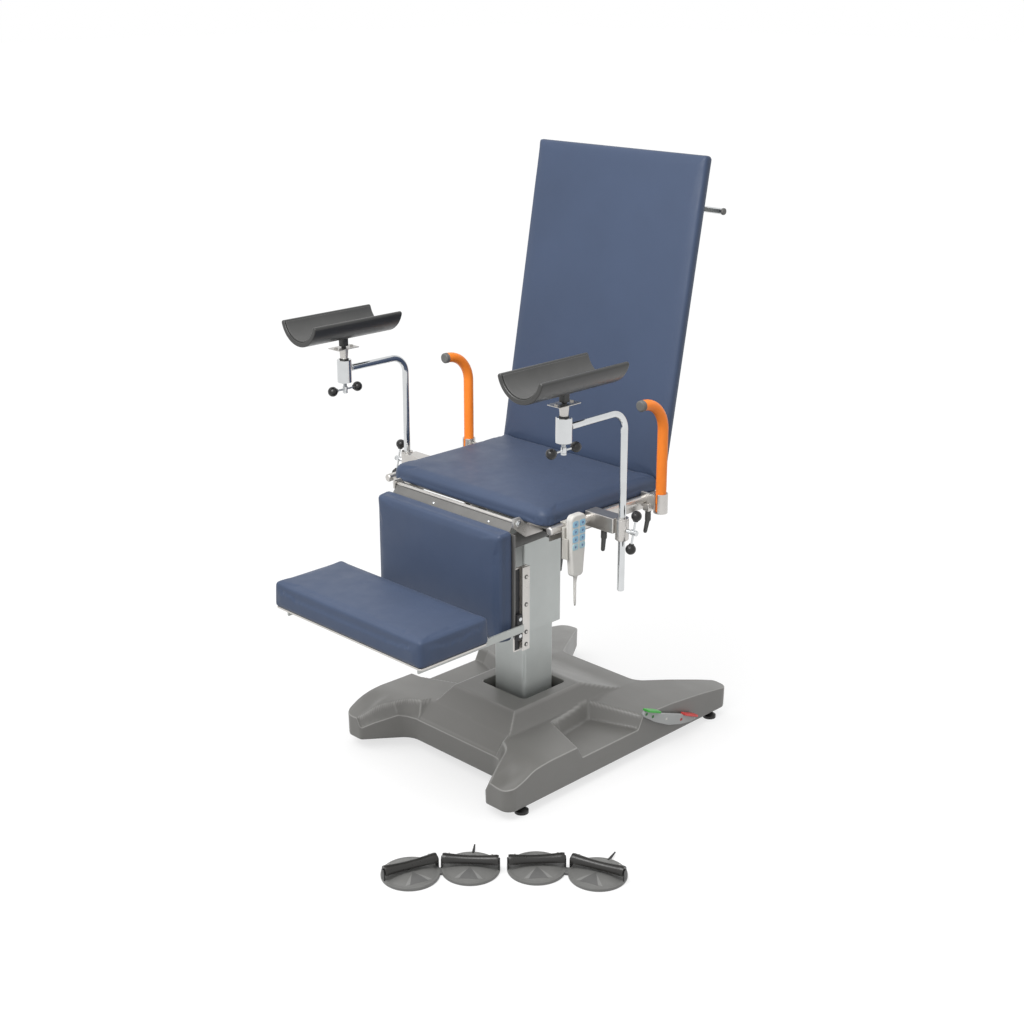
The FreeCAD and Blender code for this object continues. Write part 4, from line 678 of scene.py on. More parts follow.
def baseHeight(points, frontLine):
    # plateau and crowned legs joined, then the front panel, toe trays, ledges and dishes taken out of them
    cfg = baseCover
    onRight = points[:, 0] > 0
    x, y = np.abs(points[:, 0]), points[:, 1]
    half = np.where(onRight, *cfg["half"])
    top = cfg["plateau"]
    sideFall = np.maximum((x - top["half"]) * top["flank"], (-top["front"] - y) * top["bow"])
    fall = np.maximum(sideFall, (y - top["rear"]) * top["tail"])
    plateau = lower(top["top"] - fall, np.full_like(x, top["top"]), top["topRound"])
    shifts = np.linspace(-cfg["easeRim"], cfg["easeRim"], 9)
    rims = [np.mean([along(line, y + s) for s in shifts], axis=0) for line in cfg["rims"]]
    rim = np.where(onRight, *rims) + cfg["crown"] * np.clip((half - x) / (half - top["foot"]), 0, 1)
    form, crease = higher(plateau, rim, cfg["joinRound"]), cfg["creaseRound"]
    panel = cfg["panel"]
    slope = panel["top"] - (panel["from"] - y) * panel["fall"]
    slope = slope + panel["sides"] * np.clip(x - np.where(onRight, *panel["half"]), 0, None)
    form = np.where(y < panel["from"] + panel["reach"], lower(form, slope, crease), form)
    tray = cfg["tray"]
    wall = (along(tray["inner"], y) - x) * tray["wall"]
    ends = higher(along(tray["near"], x) - y, y - along(tray["far"], x), tray["endRound"]) * tray["ends"]
    form = lower(form, tray["floor"] + np.clip(higher(wall, ends, tray["floorRound"]), 0, None), crease)
    ledge = cfg["ledge"]
    away = np.clip(nearLine(points, frontLine) - ledge["wide"], 0, None)
    step = along(ledge["level"], y) + ledge["slope"] * away
    form = np.where(y < ledge["until"], lower(form, step, crease), form)
    dish = cfg["dish"]
    bowl = np.clip(1 - ((half - x - dish["in"]) / dish["halfX"]) ** 2, 0, 1)
    bowl = bowl * np.clip(1 - ((y - dish["y"]) / dish["halfY"]) ** 2, 0, 1)
    return form - dish["deep"] * bowl * bowl


def makeBase(cfg):
    # height field over the plan, with a rounded edge and upright walls round it and round the column hole
    outline = evenly(cornerLine(cfg["outline"], steps=14), cfg["step"])
    front = evenly(cornerLine(cfg["frontLine"], closed=False, steps=14), 2 * cfg["step"], closed=False)
    normal, edge = outwards(outline), cfg["edge"]
    inner = outline - normal * edge
    top = baseHeight(inner, front)
    a = np.linspace(0, math.pi / 2, 7)
    rows = [np.column_stack([outline - normal * (edge * (1 - math.sin(t))), top - edge * (1 - math.cos(t))])
            for t in a]
    for share in (0.3, 0.65, 0.95):
        level = (top - edge) * (1 - share) + (cfg["low"] + 1.5) * share
        rows.append(np.column_stack([outline - normal * share, level]))
    rows.append(np.column_stack([outline - normal * 2.0, np.full(len(outline), cfg["low"])]))
    hole = cfg["hole"]
    rimLine = evenly(roundRect(hole["half"], hole["half"], hole["round"], steps=10), cfg["step"])
    rimNormal = outwards(rimLine)
    ring = rimLine + rimNormal * hole["edge"]
    ringTop = baseHeight(ring, front)
    collar = [np.column_stack([rimLine + rimNormal * (hole["edge"] * (1 - math.sin(t))),
                               ringTop - hole["edge"] * (1 - math.cos(t))]) for t in a]
    collar.append(np.column_stack([rimLine, ringTop - hole["deep"]]))

    lo, hi = inner.min(0), inner.max(0)
    gx, gy = np.meshgrid(np.arange(lo[0], hi[0], cfg["grid"]), np.arange(lo[1], hi[1], cfg["grid"]))
    field = np.stack([gx.ravel(), gy.ravel()], -1)
    reach = hole["half"] + hole["edge"] + hole["clear"]
    field = field[inOutline(field, inner) & (np.abs(field).max(1) > reach)]
    border = np.vstack([inner, inner[:1]])
    away = np.concatenate([nearLine(part, border) for part in np.array_split(field, 40)])
    field = field[away > cfg["clear"]]
    n, m = len(inner), len(ring)
    edges = [(i, (i + 1) % n) for i in range(n)] + [(n + i, n + (i + 1) % m) for i in range(m)]
    found = delaunay_2d_cdt([Vector(p) for p in np.vstack([inner, ring, field])], edges, [], 0, 1e-6)
    at = np.array([(v.x, v.y) for v in found[0]])
    tris = np.array([f for f in found[2] if len(f) == 3])
    middle = at[tris].mean(1)
    tris = tris[inOutline(middle, inner) & ~inOutline(middle, ring)]
    # painted highlight: how far each point stands above the mean of its four neighbours, with a band over the
    # rounded outer edge and the hole's rounded edge, kept in the mesh's edge attribute for the basePlastic
    # finish
    height, *around = [np.concatenate([baseHeight(part + move, front) for part in np.array_split(at, 40)])
                       for move in np.array(((0, 0), (1, 0), (-1, 0), (0, 1), (0, -1))) * cfg["highlightStep"]]
    paintedHighlight = np.clip((height - np.mean(around, axis=0)) / cfg["highlightFull"], 0, 1)
    rimHighlight = np.concatenate([np.sin(2 * a), np.zeros(4)])
    paintedHighlight = np.concatenate([paintedHighlight, np.repeat(rimHighlight, len(outline)), np.repeat(rimHighlight[:8], len(ring))])
    rows, collar = np.array(rows), np.array(collar)
    faces = tris.tolist()
    faces += (gridQuads(len(rows), n) + len(at))[:, ::-1].tolist()
    faces += (gridQuads(len(collar), m) + len(at) + len(rows) * n).tolist()
    points = np.vstack([np.column_stack([at, height]), rows.reshape(-1, 3), collar.reshape(-1, 3)])
    mesh = newMesh("baseCover", points, faces)
    mesh.attributes.new("edge", "FLOAT", "POINT").data.foreach_set("value", paintedHighlight * cfg["highlightShare"])
    orient(mesh, cfg["weld"])
    mesh.materials.append(looks["basePlastic"])
    mesh.shade_smooth()
    piece = addObject("baseCover", mesh)
    wall = piece.modifiers.new("wall", "SOLIDIFY")
    wall.thickness = cfg["shell"] * milli
    wall.offset = -1
    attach(piece, "base")
    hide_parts("base_cover")
    print("base cover:", len(mesh.vertices), "points")


makeBase(baseCover)

holder = {
    "x": 407, "postY": -62, "postLow": 594, "armZ": 1068, "bend": 48, "postR": 9.3,
    "socketY": -280, "socketR": 20, "socketLow": 1032, "socketHigh": 1095,
    "stemR": 10, "stemTop": 13, "plateZ": 1126, "plateHalf": (22, 37), "plateThick": 2, "neckTop": 1152,
    "screwZ": 1012.5, "screwR": 7, "barR": 2.8, "barHalf": 36, "ballR": 13.5,
    "tip": -12, "threadIn": 8, "tubeIn": 3,
    "clampX": 445.5, "clampZ": 759, "clampTurn": 13, "clampRoot": 424.6,
}
trough = {
    "axisZ": 1227, "outer": 74.3, "shell": 13, "gap": 0.4, "liner": 2.5, "front": -430, "rear": -131,
    "linerIn": 4.5, "ease": 3, "open": 74, "blockHalf": (9, 11), "blockLow": 1132, "blockHigh": 1160,
}


def threadProfile(radius, low, high, pitch=1.8):
    # screw thread seen as close rings
    z = np.linspace(low, high, 2 * int((high - low) / pitch) + 1)
    return np.column_stack([np.where(np.arange(len(z)) % 2, radius, radius - 0.7), z])


def tommyParts(centre, stem, bar, cfg, root):
    # threaded spindle along stem with a cross bar and a ball at each end
    centre, bar = np.asarray(centre, float), unit(bar)
    r, half, ball, tip = cfg["screwR"], cfg["barHalf"], cfg["ballR"], cfg["tip"]
    root += cfg["threadIn"]
    spindle = [(r - 2.5, tip), (r, tip + 1.5), (r, -6.5), (r - 1.2, -6), (r - 1.2, -5), (r, -4.5), (r, 7),
               (r - 1.5, 8.5)]
    parts = inKind("chrome", spinSkin(spindle, centre, stem),
                   spinSkin(threadProfile(r - 1.6, 8.5, root), centre, stem, 24),
                   barSkin(centre - bar * half, centre + bar * half, cfg["barR"], 0.5, 20))
    for way in (-1, 1):
        middle = centre + bar * way * (half + ball * 0.5)
        neck = [(6.4, -ball - 0.6), (6.8, -ball + 0.4), (6.8, -ball + 3)]
        parts += inKind("ballPlastic", ballSkin(middle, ball), spinSkin(neck, middle, bar * way, 24))
    return parts


def troughSkin(outer, wall, front, rear, cfg):
    # C-shaped section with round lips carried along the trough, with an eased edge at both ends
    arc = math.radians(cfg["open"])
    a = np.linspace(-arc, arc, 49)
    lip = np.linspace(0, math.pi, 11)[1:-1]
    still = np.zeros(len(a))
    turn = np.concatenate([a, np.full(len(lip), arc), a[::-1], np.full(len(lip), -arc)])
    radial = np.concatenate([still + 1, np.cos(lip), still - 1, -np.cos(lip)])
    onward = np.concatenate([still, np.sin(lip), still, -np.sin(lip)])
    end = np.linspace(0, math.pi / 2, 7)
    share = np.concatenate([np.zeros(7), np.linspace(0, 1, 15)[1:-1], np.ones(7)])[:, None]
    ease = min(cfg["ease"], wall * 0.45)
    half = wall / 2 - ease * (1 - np.concatenate([np.sin(end), np.ones(13), np.sin(end[::-1])])[:, None])
    push = ease * np.concatenate([np.cos(end) - 1, np.zeros(13), 1 - np.cos(end[::-1])])[:, None]
    reach = outer - wall / 2 + half * radial
    x = reach * np.sin(turn) + half * onward * np.cos(turn)
    z = half * onward * np.sin(turn) - reach * np.cos(turn)
    y = front + (rear - front) * share - push + 0 * x
    return loopSkin(np.stack([x, y, z + cfg["axisZ"]], -1))


def makeHolders(cfg, t):
    low, high, r, stemR = cfg["socketLow"], cfg["socketHigh"], cfg["socketR"], cfg["stemR"]
    plateZ, postR = cfg["plateZ"], cfg["postR"]
    cup = [(r - 9, low), (r - 1.2, low), (r, low + 1.2), (r, high - 1.4), (r - 1.4, high),
           (stemR + 2.5, high), (stemR + 1, high - 1.5), (stemR + 1, high - 12)]
    weld = [(postR + 3.2, -0.5), (postR + 1.6, 1.5), (postR + 0.4, 4.5), (postR - 0.5, 5)]
    collar = [(stemR + 2.4, high - 0.5), (stemR + 2.8, high + 1), (stemR + 2.2, high + 2.4),
              (stemR, high + 2.6)]
    stem = [(stemR, low + 15), (stemR, high + 1), (stemR + 0.4, high + 4), (cfg["stemTop"] - 0.5, plateZ - 3),
            (cfg["stemTop"], plateZ)]
    nut = [(4.5, plateZ + 1.5), (4.5, plateZ + 5), (3, plateZ + 5.6)]
    plate = slabSkin(roundRect(*cfg["plateHalf"], 3), plateZ, plateZ + cfg["plateThick"], 0.5, 0.5)
    neck = slabSkin(roundRect(6, 4.6, 2.5), plateZ + 1, cfg["neckTop"], 1, 1)
    shell = troughSkin(t["outer"], t["shell"], t["front"], t["rear"], t)
    liner = troughSkin(t["outer"] - t["shell"] - t["gap"], t["liner"], t["front"] + t["linerIn"],
                       t["rear"] - t["linerIn"], t)
    block = slabSkin(roundRect(*t["blockHalf"], 4), t["blockLow"], t["blockHigh"], 1.5, 1)
    lean = math.radians(cfg["clampTurn"])
    clampBar, clampLong = (0, math.sin(lean), math.cos(lean)), cfg["clampX"] - cfg["clampRoot"]
    postY, armZ = cfg["postY"], cfg["armZ"]
    for name, sign in sides:
        tag = name.capitalize()
        x, y = sign * cfg["x"], cfg["socketY"]
        at = np.array((x, y, 0))
        bend = [(x, postY, cfg["postLow"]), (x, postY, armZ), (x, y + r - cfg["tubeIn"], armZ)]
        path = roundedCorners(bend, [0, cfg["bend"], 0], closed=False, steps=18)
        tube = inKind("chrome", tubeSkin(path, postR, ex), spinSkin(cup, at, count=48),
                      spinSkin(weld, (x, y + r - 1.5, armZ), ey))
        newPiece(f"holderPost{tag}", tube, f"post_{name}", [f"holder_post_{name}"])
        newPiece(f"headStem{tag}", [
            (spinSkin(stem, at), "stainless"),
            (spinSkin(collar, at), "blackRubber"),
            (turned(plate, at), "stainless"),
            (spinSkin(nut, (x, y - 27, 0), count=6), "stainless"),
            (spinSkin(nut, (x, y + 27, 0), count=6), "stainless"),
            (turned(neck, at), "blackSteel"),
        ], f"head_{name}", [f"head_stem_{name}"])
        under = tommyParts((x, y, cfg["screwZ"]), ez, ey, cfg, low - cfg["screwZ"])
        newPiece(f"socketScrew{tag}", under, f"socket_screw_{name}", [f"socket_screw_{name}"])
        clampAt = (sign * cfg["clampX"], postY, cfg["clampZ"])
        aside = tommyParts(clampAt, -sign * ex, clampBar, cfg, clampLong)
        newPiece(f"clampScrew{tag}", aside, f"clamp_screw_{name}", [f"clamp_screw_{name}"])
        foam = inKind("troughFoam", turned(shell, (x, 0, 0)), turned(block, at))
        newPiece(f"troughShell{tag}", foam, f"shell_{name}", [f"holder_shell_{name}"])
        lining = inKind("troughLining", turned(liner, (x, 0, 0)))
        pad = newPiece(f"troughLiner{tag}", lining, f"shell_{name}")


makeHolders(holder, trough)
print("leg holders done")

bracket = {
    "arm": ((298.6, 394), (-83, -41), (748, 788)), "post": (407, -62), "sleeve": (12.7, 17.2),
    "sleeveZ": (732, 786), "slotAt": 25, "slotHalf": 5.5, "boss": (416, 424, 759, 9.5),
    "lever": {"out": 347, "y": -62, "under": 747.6, "lean": (0, -4, -49)},
}
socket = {
    "at": (364, 140), "sleeve": (14.4, 18.8), "z": (743, 797), "floor": 4, "slotAt": -90, "slotHalf": 13,
    "plate": ((298.6, 351), (135.5, 144.5), (748, 788)), "boss": ((311, 333), (129, 151), (740, 760)),
    "lever": {"out": 322, "y": 140, "under": 739.6, "lean": (0, -13, -47)},
}
leverShape = {"hubR": 8, "hubTall": 30, "handleR": (6.6, 5.4), "reach": 0.72, "studR": 4, "studTall": 17}


def slitRing(radii, heights, at, slotAt, slotHalf, edge=0.9, count=60):
    # rectangular section with eased corners carried round an axis from one side of a slit to the other
    (inside, outside), (low, high) = radii, heights
    middle = np.array((inside + outside, low + high)) / 2
    section = roundRect((outside - inside) / 2, (high - low) / 2, edge, 3) + middle
    a = np.radians(np.linspace(slotAt + slotHalf, slotAt + 360 - slotHalf, count))[:, None]
    spread = section[None, :, 0]
    tall = np.broadcast_to(section[None, :, 1], (count, len(section)))
    return loopSkin(np.stack([at[0] + spread * np.cos(a), at[1] + spread * np.sin(a), tall], -1))


def leverParts(cfg, sign):
    # round hub with a stud and a tapered handle that hangs from it
    x, y, under, r = sign * cfg["out"], cfg["y"], cfg["under"], leverShape["hubR"]
    low = under - leverShape["hubTall"]
    hub = [(r - 2.6, low), (r - 0.8, low + 1.4), (r, low + 4), (r, under - 9), (r - 0.7, under - 8),
           (r - 0.7, under - 6.5), (r, under - 5.5), (r, under - 0.6), (r - 0.6, under)]
    start = np.array((x, y, low + r))
    tip = start + np.array(cfg["lean"]) * leverShape["reach"]
    studTop = (x, y, under + leverShape["studTall"])
    return [(spinSkin(hub, (x, y, 0), count=36), "leverGrey"),
            (barSkin((x, y, under - 1), studTop, leverShape["studR"], 0.6), "chrome"),
            (capsuleSkin(start, tip, *leverShape["handleR"]), "leverGrey"),
            (spinSkin([(3.4, low - 0.5), (3.4, low + 2)], (x, y, 0), count=6), "blackSteel")]


def makeMounts(b, s):
    arms, cups = [], []
    for name, sign in sides:
        tag = name.capitalize()
        x, y = sign * b["post"][0], b["post"][1]
        slot = b["slotAt"] if sign > 0 else 180 - b["slotAt"]
        near, far, level, r = b["boss"]
        arms += [sideBlock(sign, b["arm"], 1.4, 2.4),
                 slitRing(b["sleeve"], b["sleeveZ"], (x, y), slot, b["slotHalf"]),
                 barSkin((sign * near, y, level), (sign * far, y, level), r, 0.9)]
        newPiece(f"bracketLever{tag}", leverParts(b["lever"], sign), f"bracket_lever_{name}",
                 [f"bracket_lever_{name}"])
        at = (sign * s["at"][0], s["at"][1])
        outside, low = s["sleeve"][1], s["z"][0]
        floor = [(outside - 1, low + 0.3), (outside - 0.6, low + 0.8), (outside - 0.6, low + s["floor"])]
        cups += [slitRing(s["sleeve"], s["z"], at, s["slotAt"], s["slotHalf"]),
                 spinSkin(floor, (*at, 0), count=48),
                 sideBlock(sign, s["plate"], 1.2, 1.6), sideBlock(sign, s["boss"], 1.2, 3)]
        newPiece(f"handleLever{tag}", leverParts(s["lever"], sign), f"handle_lever_{name}",
                 [f"handle_lever_{name}"])
    newPiece("holderBrackets", inKind("stainless", *arms), "seat", ["holder_brackets"])
    newPiece("handleSockets", inKind("stainless", *cups), "seat", ["handle_sockets"])


makeMounts(bracket, socket)
print("brackets and sockets done")

grip = {"x": 364, "y": 140, "low": 747.3, "top": 1049, "bend": 80, "end": 58, "radius": 14, "capEnd": 45,
        "capR": 14.6, "dome": (4.6, 4.4), "key": ((-2.4, 2.4), (121.5, 128), (771, 797.5))}


def makeGrips(cfg):
    # bent tube with a ribbed end cap and a key that runs in the socket's slit
    r, long = cfg["capR"], cfg["end"] - cfg["capEnd"]
    rib = ((0, 0), (0, 1.4), (0.7, 2.0), (0.7, 2.6))
    ribs = [(r - low, start + step) for start in (0.8, 4.0) for low, step in rib] + [(r, 7.2), (r, 8.6)]
    turn = np.linspace(0, math.pi / 2, 7)
    wide, tall = cfg["dome"]
    dome = np.column_stack([r - wide * (1 - np.cos(turn)), long - tall * (1 - np.sin(turn))])
    for name, sign in sides:
        x = sign * cfg["x"]
        bend = [(x, cfg["y"], cfg["low"]), (x, cfg["y"], cfg["top"]), (x, cfg["end"] - 2, cfg["top"])]
        path = roundedCorners(bend, [0, cfg["bend"], 0], closed=False, steps=24)
        wide, deep, tall = cfg["key"]
        newPiece(f"handGrip{name.capitalize()}", [
            (tubeSkin(path, cfg["radius"], ex, count=36), "orangeGrip"),
            (turned(blockSkin(wide, deep, tall, 0.8), (x, 0, 0)), "orangeGrip"),
            (spinSkin([(r - 0.8, 0), *ribs, *dome], (x, cfg["end"], cfg["top"]), -ey, 40), "capGrey"),
        ], f"grip_{name}", [f"handle_{name}"])


makeGrips(grip)
print("hand grips done")

legFrame = {
    "plate": ((-245, 245), (-282, -278.4), (481, 757)), "flange": ((236, 240), (-279, -232), (436, 665)),
    "strip": ((-282, 754.5), (-279.6, 752.8), (-260.4, 775.2), (-262.8, 777.2)), "stripHalf": 222,
    "knuckle": (-258, 780, 5.2), "lugs": ((119.6, 124.6), (145.4, 150.4)), "lug": ((-279, -230), (671, 697)),
    "screws": (-66, 141), "hingeR": 4.4, "nutR": 8.6, "nutX": (229.5, 236.3),
    "tail": 239.3, "guide": ((246, 250), (-258, -232), (436, 665)), "boltY": -245,
    "boltX": (240.2, 246), "bolts": (452, 486.4, 562, 637.5),
    # thin black strip on the flange's outer face: painted shade for the slot behind the slider
    "dark": ((239.9, 240.25), (-277, -259.5), (440, 661)),
}


def makeLegFrame(cfg):
    # folded sheet with two flanges, hung by a bent strip on a rolled knuckle, with guide strips outside; a
    # thin black strip on each flange's outer face is painted shade for the slot where the slider runs
    y, z, r = cfg["knuckle"]
    half, tail, nutR = cfg["stripHalf"], cfg["tail"], cfg["nutR"]
    strip = np.array(cfg["strip"], float)
    bent = loopSkin(np.stack([np.column_stack([np.full(4, x), strip]) for x in (-half, half)]))
    # the sheet and the bent strip take steel darkened with painted shade
    parts = [(blockSkin(*cfg["plate"], 0.9), "stripSteelPaintedShade"), (bent, "stripSteelPaintedShade"),
             (barSkin((-half, y, z), (half, y, z), r, 0.8, 32), "stainless")]
    parts += [(blockSkin(x, *cfg["lug"], 0.8), "stainless") for x in cfg["lugs"]]
    near, far = strip[0], strip[3]
    middle, slant = (near + far) / 2, (0, near[1] - far[1], far[0] - near[0])
    screw = [(3.4, -0.6), (3.4, 0.6), (2.4, 1.4), (0.8, 1.7)]
    parts += [(spinSkin(screw, (x, *middle), slant, 20), "chrome") for x in cfg["screws"]]
    n0, n1 = cfg["nutX"]
    nut = [(nutR - 1, 0), (nutR, 0.8), (nutR, n1 - n0 - 0.8), (nutR - 1, n1 - n0)]
    washer = [(5.8, 3.8), (5.8, 4.9), (5.4, 5.2), (3, 5.2)]
    head = [(3.5, 4.8), (3.5, 6.2), (2.6, 6.9), (1, 7.1)]
    strips = []
    hinge = [(barSkin((-tail, y, z), (tail, y, z), cfg["hingeR"], 0.8, 28), "chrome")]
    for name, sign in sides:
        parts += [(sideBlock(sign, cfg["flange"], 0.8), "stainless"),
                  (sideBlock(sign, cfg["dark"], 0.1), "blackSteel")]
        strips.append((sideBlock(sign, cfg["guide"], 0.9), "stainless"))
        for level in cfg["bolts"]:
            start, at = [(sign * x, cfg["boltY"], level) for x in cfg["boltX"]]
            strips += [(barSkin(start, at, 6, 0.3), "stainless"),
                       (spinSkin(washer, at, sign * ex, 28), "leverGrey"),
                       (spinSkin(head, at, sign * ex, 28), "stainless")]
        hinge.append((spinSkin(nut, (sign * n0, y, z), sign * ex, 6), "chrome"))
    newPiece("legFrame", parts, "leg", ["leg_frame"])
    newPiece("legGuides", strips, "leg", ["leg_guides"])
    newPiece("legHingeRod", hinge, "seat", ["leg_hinge_rod"], crease=25)


makeLegFrame(legFrame)

footTray = {
    "plate": ((-283, 283), (-636, -413), (512, 517.8)), "arm": ((251.2, 257), (-620, -259), (492, 512.4)),
    "slider": ((240.6, 251.4), (-277.4, -258.6), (470, 540)), "screwZ": (482, 528), "screwY": -268,
}


def makeFootTray(cfg):
    # tray on two flat arms, each on a slider block that runs in its guide
    parts = [(blockSkin(*cfg["plate"], 1.4, 8), "stainless")]
    head = [(5.4, -0.5), (5.4, 1.4), (3.6, 3.0), (1.2, 3.5)]
    for name, sign in sides:
        x = sign * cfg["slider"][0][1]
        parts += [(sideBlock(sign, cfg["arm"], 1.0), "greySteel"),
                  (sideBlock(sign, cfg["slider"], 1.2), "blackSteel")]
        parts += [(spinSkin(head, (x, cfg["screwY"], z), sign * ex, 24), "chrome") for z in cfg["screwZ"]]
    newPiece("footTray", parts, "knee_rest", ["foot_tray"])


makeFootTray(footTray)
print("leg section done")

rail = {"x": 307, "z": 768, "radius": 11, "front": -224, "rear": 188, "dome": 5}
backBar = {"y": 427.9, "z": 1491.5, "radius": 8, "half": 306.5, "capLong": 5, "capR": 9}


def makeBars(r, b):
    # straight bars with domed ends, and the bar behind the back with two push-on caps
    turn = np.linspace(0, math.pi / 2, 8)
    rise = np.column_stack([r["radius"] - r["dome"] * (1 - np.cos(turn)), r["dome"] * np.sin(turn)])
    long = r["rear"] - r["front"]
    profile = np.vstack([rise[::-1] * (1, -1) + (0, r["dome"]), rise + (0, long - r["dome"])])
    newPiece("sideRails", [
        (spinSkin(profile, (sign * r["x"], r["front"], r["z"]), ey, 36), "stainless") for name, sign in sides
    ], "seat", ["side_rails"])
    half, y, z, capR, end = b["half"], b["y"], b["z"], b["capR"], b["capLong"]
    bar = [(barSkin((-half, y, z), (half, y, z), b["radius"], 0.6, 32), "chrome")]
    cap = [(capR - 0.8, -1.5), (capR, -0.8), (capR, end - 2), (capR - 0.8, end - 0.7), (capR - 3, end)]
    bar += [(spinSkin(cap, (sign * half, y, z), sign * ex, 32), "capGrey") for name, sign in sides]
    newPiece("backBar", bar, "back", ["back_bar"])


makeBars(rail, backBar)

backFrame = {  # blocks lie in the back's own plane: across, up it and out of it
    "at": (0, 344, 1218.95), "lean": 10, "pan": ((-255, 255), (-404, 404), (-3, 31.2)),
    "stileX": 190, "stiles": ((13, (-484.7, 359), (-27, -2.6)), (12.6, (-484.3, -421), (-20, 26))),
    "axis": (236, 756), "sleeve": (215.5, 10), "leverX": ((-150.4, -145.4), (-124.6, -119.6)),
    "lever": ((226, 756, 3), (241, 679, 9), (267, 679, 9), (246, 756, 3)),
}


def makeBackFrame(cfg):
    # shallow tray on two uprights that swing on a sleeve, with two lever plates below
    tilt = math.radians(cfg["lean"])
    upwards, forwards = (0, math.sin(tilt), math.cos(tilt)), (0, -math.cos(tilt), math.sin(tilt))
    blocks = [blockSkin(*cfg["pan"], 2.5, 12)]
    for name, sign in sides:
        middle = sign * cfg["stileX"]
        blocks += [blockSkin((middle - half, middle + half), up, out, 1.5) for half, up, out in cfg["stiles"]]
    skins = [turned(block, cfg["at"], ex, upwards, forwards) for block in blocks]
    half, r = cfg["sleeve"]
    skins.append(barSkin((-half, *cfg["axis"]), (half, *cfg["axis"]), r, 0.8, 32))
    skins += [facing(slabSkin(cornerLine(cfg["lever"]), *x, 0.6, 0.6)) for x in cfg["leverX"]]
    newPiece("backFrame", inKind("greyPaint", *skins), "back", ["back_frame"])


makeBackFrame(backFrame)

handset = {
    "x": (327, 348.5), "y": -158, "low": 642, "tall": 165, "half": 27, "backRound": 6, "faceRound": 5,
    "shape": ((0.70, 0.0, 11), (0.94, 0.42, 40), (1.0, 0.72, 60), (1.0, 1.0, 15)),
    "relief": ((6.4, 642.5), (6.2, 640), (5.4, 637), (5.4, 635.5), (4.5, 634.5), (4.9, 632), (4.0, 631),
               (4.3, 628.5), (3.5, 627.5), (3.8, 624.5), (3.1, 623.5), (3.3, 614), (2.8, 607)),
    "keyHalf": (10.2, 8.4), "keyRound": 5.5, "keyRise": 1.2, "keyRows": (784, 764, 744, 724), "keyOut": 12.6,
    "disc": (3, 3, 2.8), "arrow": 3.0,
}
cradle = {"plate": ((318.4, 326.6), (-190, -126), (690, 774)), "earX": (318.9, 339), "earY": (28, 31.5),
          "earZ": (690.5, 746), "ring": (11.3, 15), "ringY": (-174, -142), "rail": (307, 768), "ringArc": 124}


def arrowOutline(size, way):
    corners = np.array([(-0.5, -0.45), (0.5, -0.45), (0, 0.5)]) * size * (1, way)
    return roundedCorners(corners[::way], [size * 0.08] * 3, steps=3)


def makeHandset(cfg, c):
    half, low, tall, y = cfg["half"], cfg["low"], cfg["tall"], cfg["y"]
    right = [(half * w, low + tall * s, r) for w, s, r in cfg["shape"]]
    outline = cornerLine(right + [(-u, v, r) for u, v, r in right[::-1]], steps=8) + (y, 0)
    back, face = cfg["x"]
    seam = 0.5 * (back + face)
    shell = inKind("handsetShell",
                   facing(slabSkin(outline, back, seam - 0.4, cfg["backRound"], 0.8, steps=6)),
                   facing(slabSkin(outline, seam - 0.2, face, 0.8, cfg["faceRound"], steps=8)),
                   spinSkin(cfg["relief"], (seam, y, 0), count=28))
    newPiece("handset", shell, "seat", ["handset"])
    keys, top = [], face + cfg["keyRise"]
    disc = roundRect(*cfg["disc"], steps=5)
    for row, z in enumerate(cfg["keyRows"]):
        for side in (-1, 1):
            at = np.array((y + side * cfg["keyOut"], z))
            pad = roundRect(*cfg["keyHalf"], cfg["keyRound"]) + at
            kind = "keyPale" if row == 3 else "keyBlue"
            keys.append((facing(slabSkin(pad, face - 0.6, top, 0.2, 0.9)), kind))
            keys.append((facing(slabSkin(disc + at, top - 0.3, top + 0.1, 0.05, 0.05, steps=1)), "keyMark"))
            mark = arrowOutline(cfg["arrow"], side) + at
            keys.append((facing(slabSkin(mark, top - 0.1, top + 0.2, 0.02, 0.02, steps=1)), "keyPale"))
    newPiece("handsetKeys", keys, "seat", ["handset_keys"])
    hook = slitRing(c["ring"], c["ringY"], c["rail"], 180, 180 - c["ringArc"], 0.8, 40)
    hook = turned(hook, (0, 0, 0), ex, ez, ey)
    ears = [blockSkin(c["earX"], [y + way * v for v in c["earY"]], c["earZ"], 1.2, 1.6) for way in (-1, 1)]
    parts = inKind("cradleShell", blockSkin(*c["plate"], 1.6, 3), hook, *ears)
    newPiece("handsetCradle", parts, "seat", ["handset_holder"])


makeHandset(handset, cradle)
print("bars, handset and cradle done")

footSwitch = {
    "left": (("rocker_1", 310, -707, 71), ("rocker_2", 397, -587, 41)),
    "right": (("rocker_3", 510, -471, 49), ("rocker_4", 635, -385, 19)),
    "radius": 73, "barHalf": 69, "barWide": 15, "barLow": 24, "barTop": 45, "waist": 0.2, "side": 6,
    "upright": (69.4, 72.4), "cheek": ((-9, 3, 1), (9, 3, 1), (9, 36, 7), (-9, 36, 7)),
    "link": (40, 26, 8), "domeLow": 8.8, "domeRise": 8,
    "gland": ((4, -6), (4, 4), (3.4, 5), (3.4, 14), (2.9, 15), (3.1, 20), (2.5, 21), (2.7, 28),
              (2.1, 29), (2.1, 38)),
    # the second, paler and wider wedge is a painted highlight on the dome's facets to either side of the
    # darker wedge
    "wedges": ((-12, -56, 24, 0.5, "switchDark"), (-15, -53, 35, 0.2, "switchPale")),
    "studAt": (53, 7.5, 40.2), "glandZ": 6.2,
}


def domeHeight(cfg, radius):
    share = np.clip(radius / (cfg["radius"] - 7), 0, 1)
    return cfg["domeLow"] + cfg["domeRise"] * (1 - share ** 2.6)


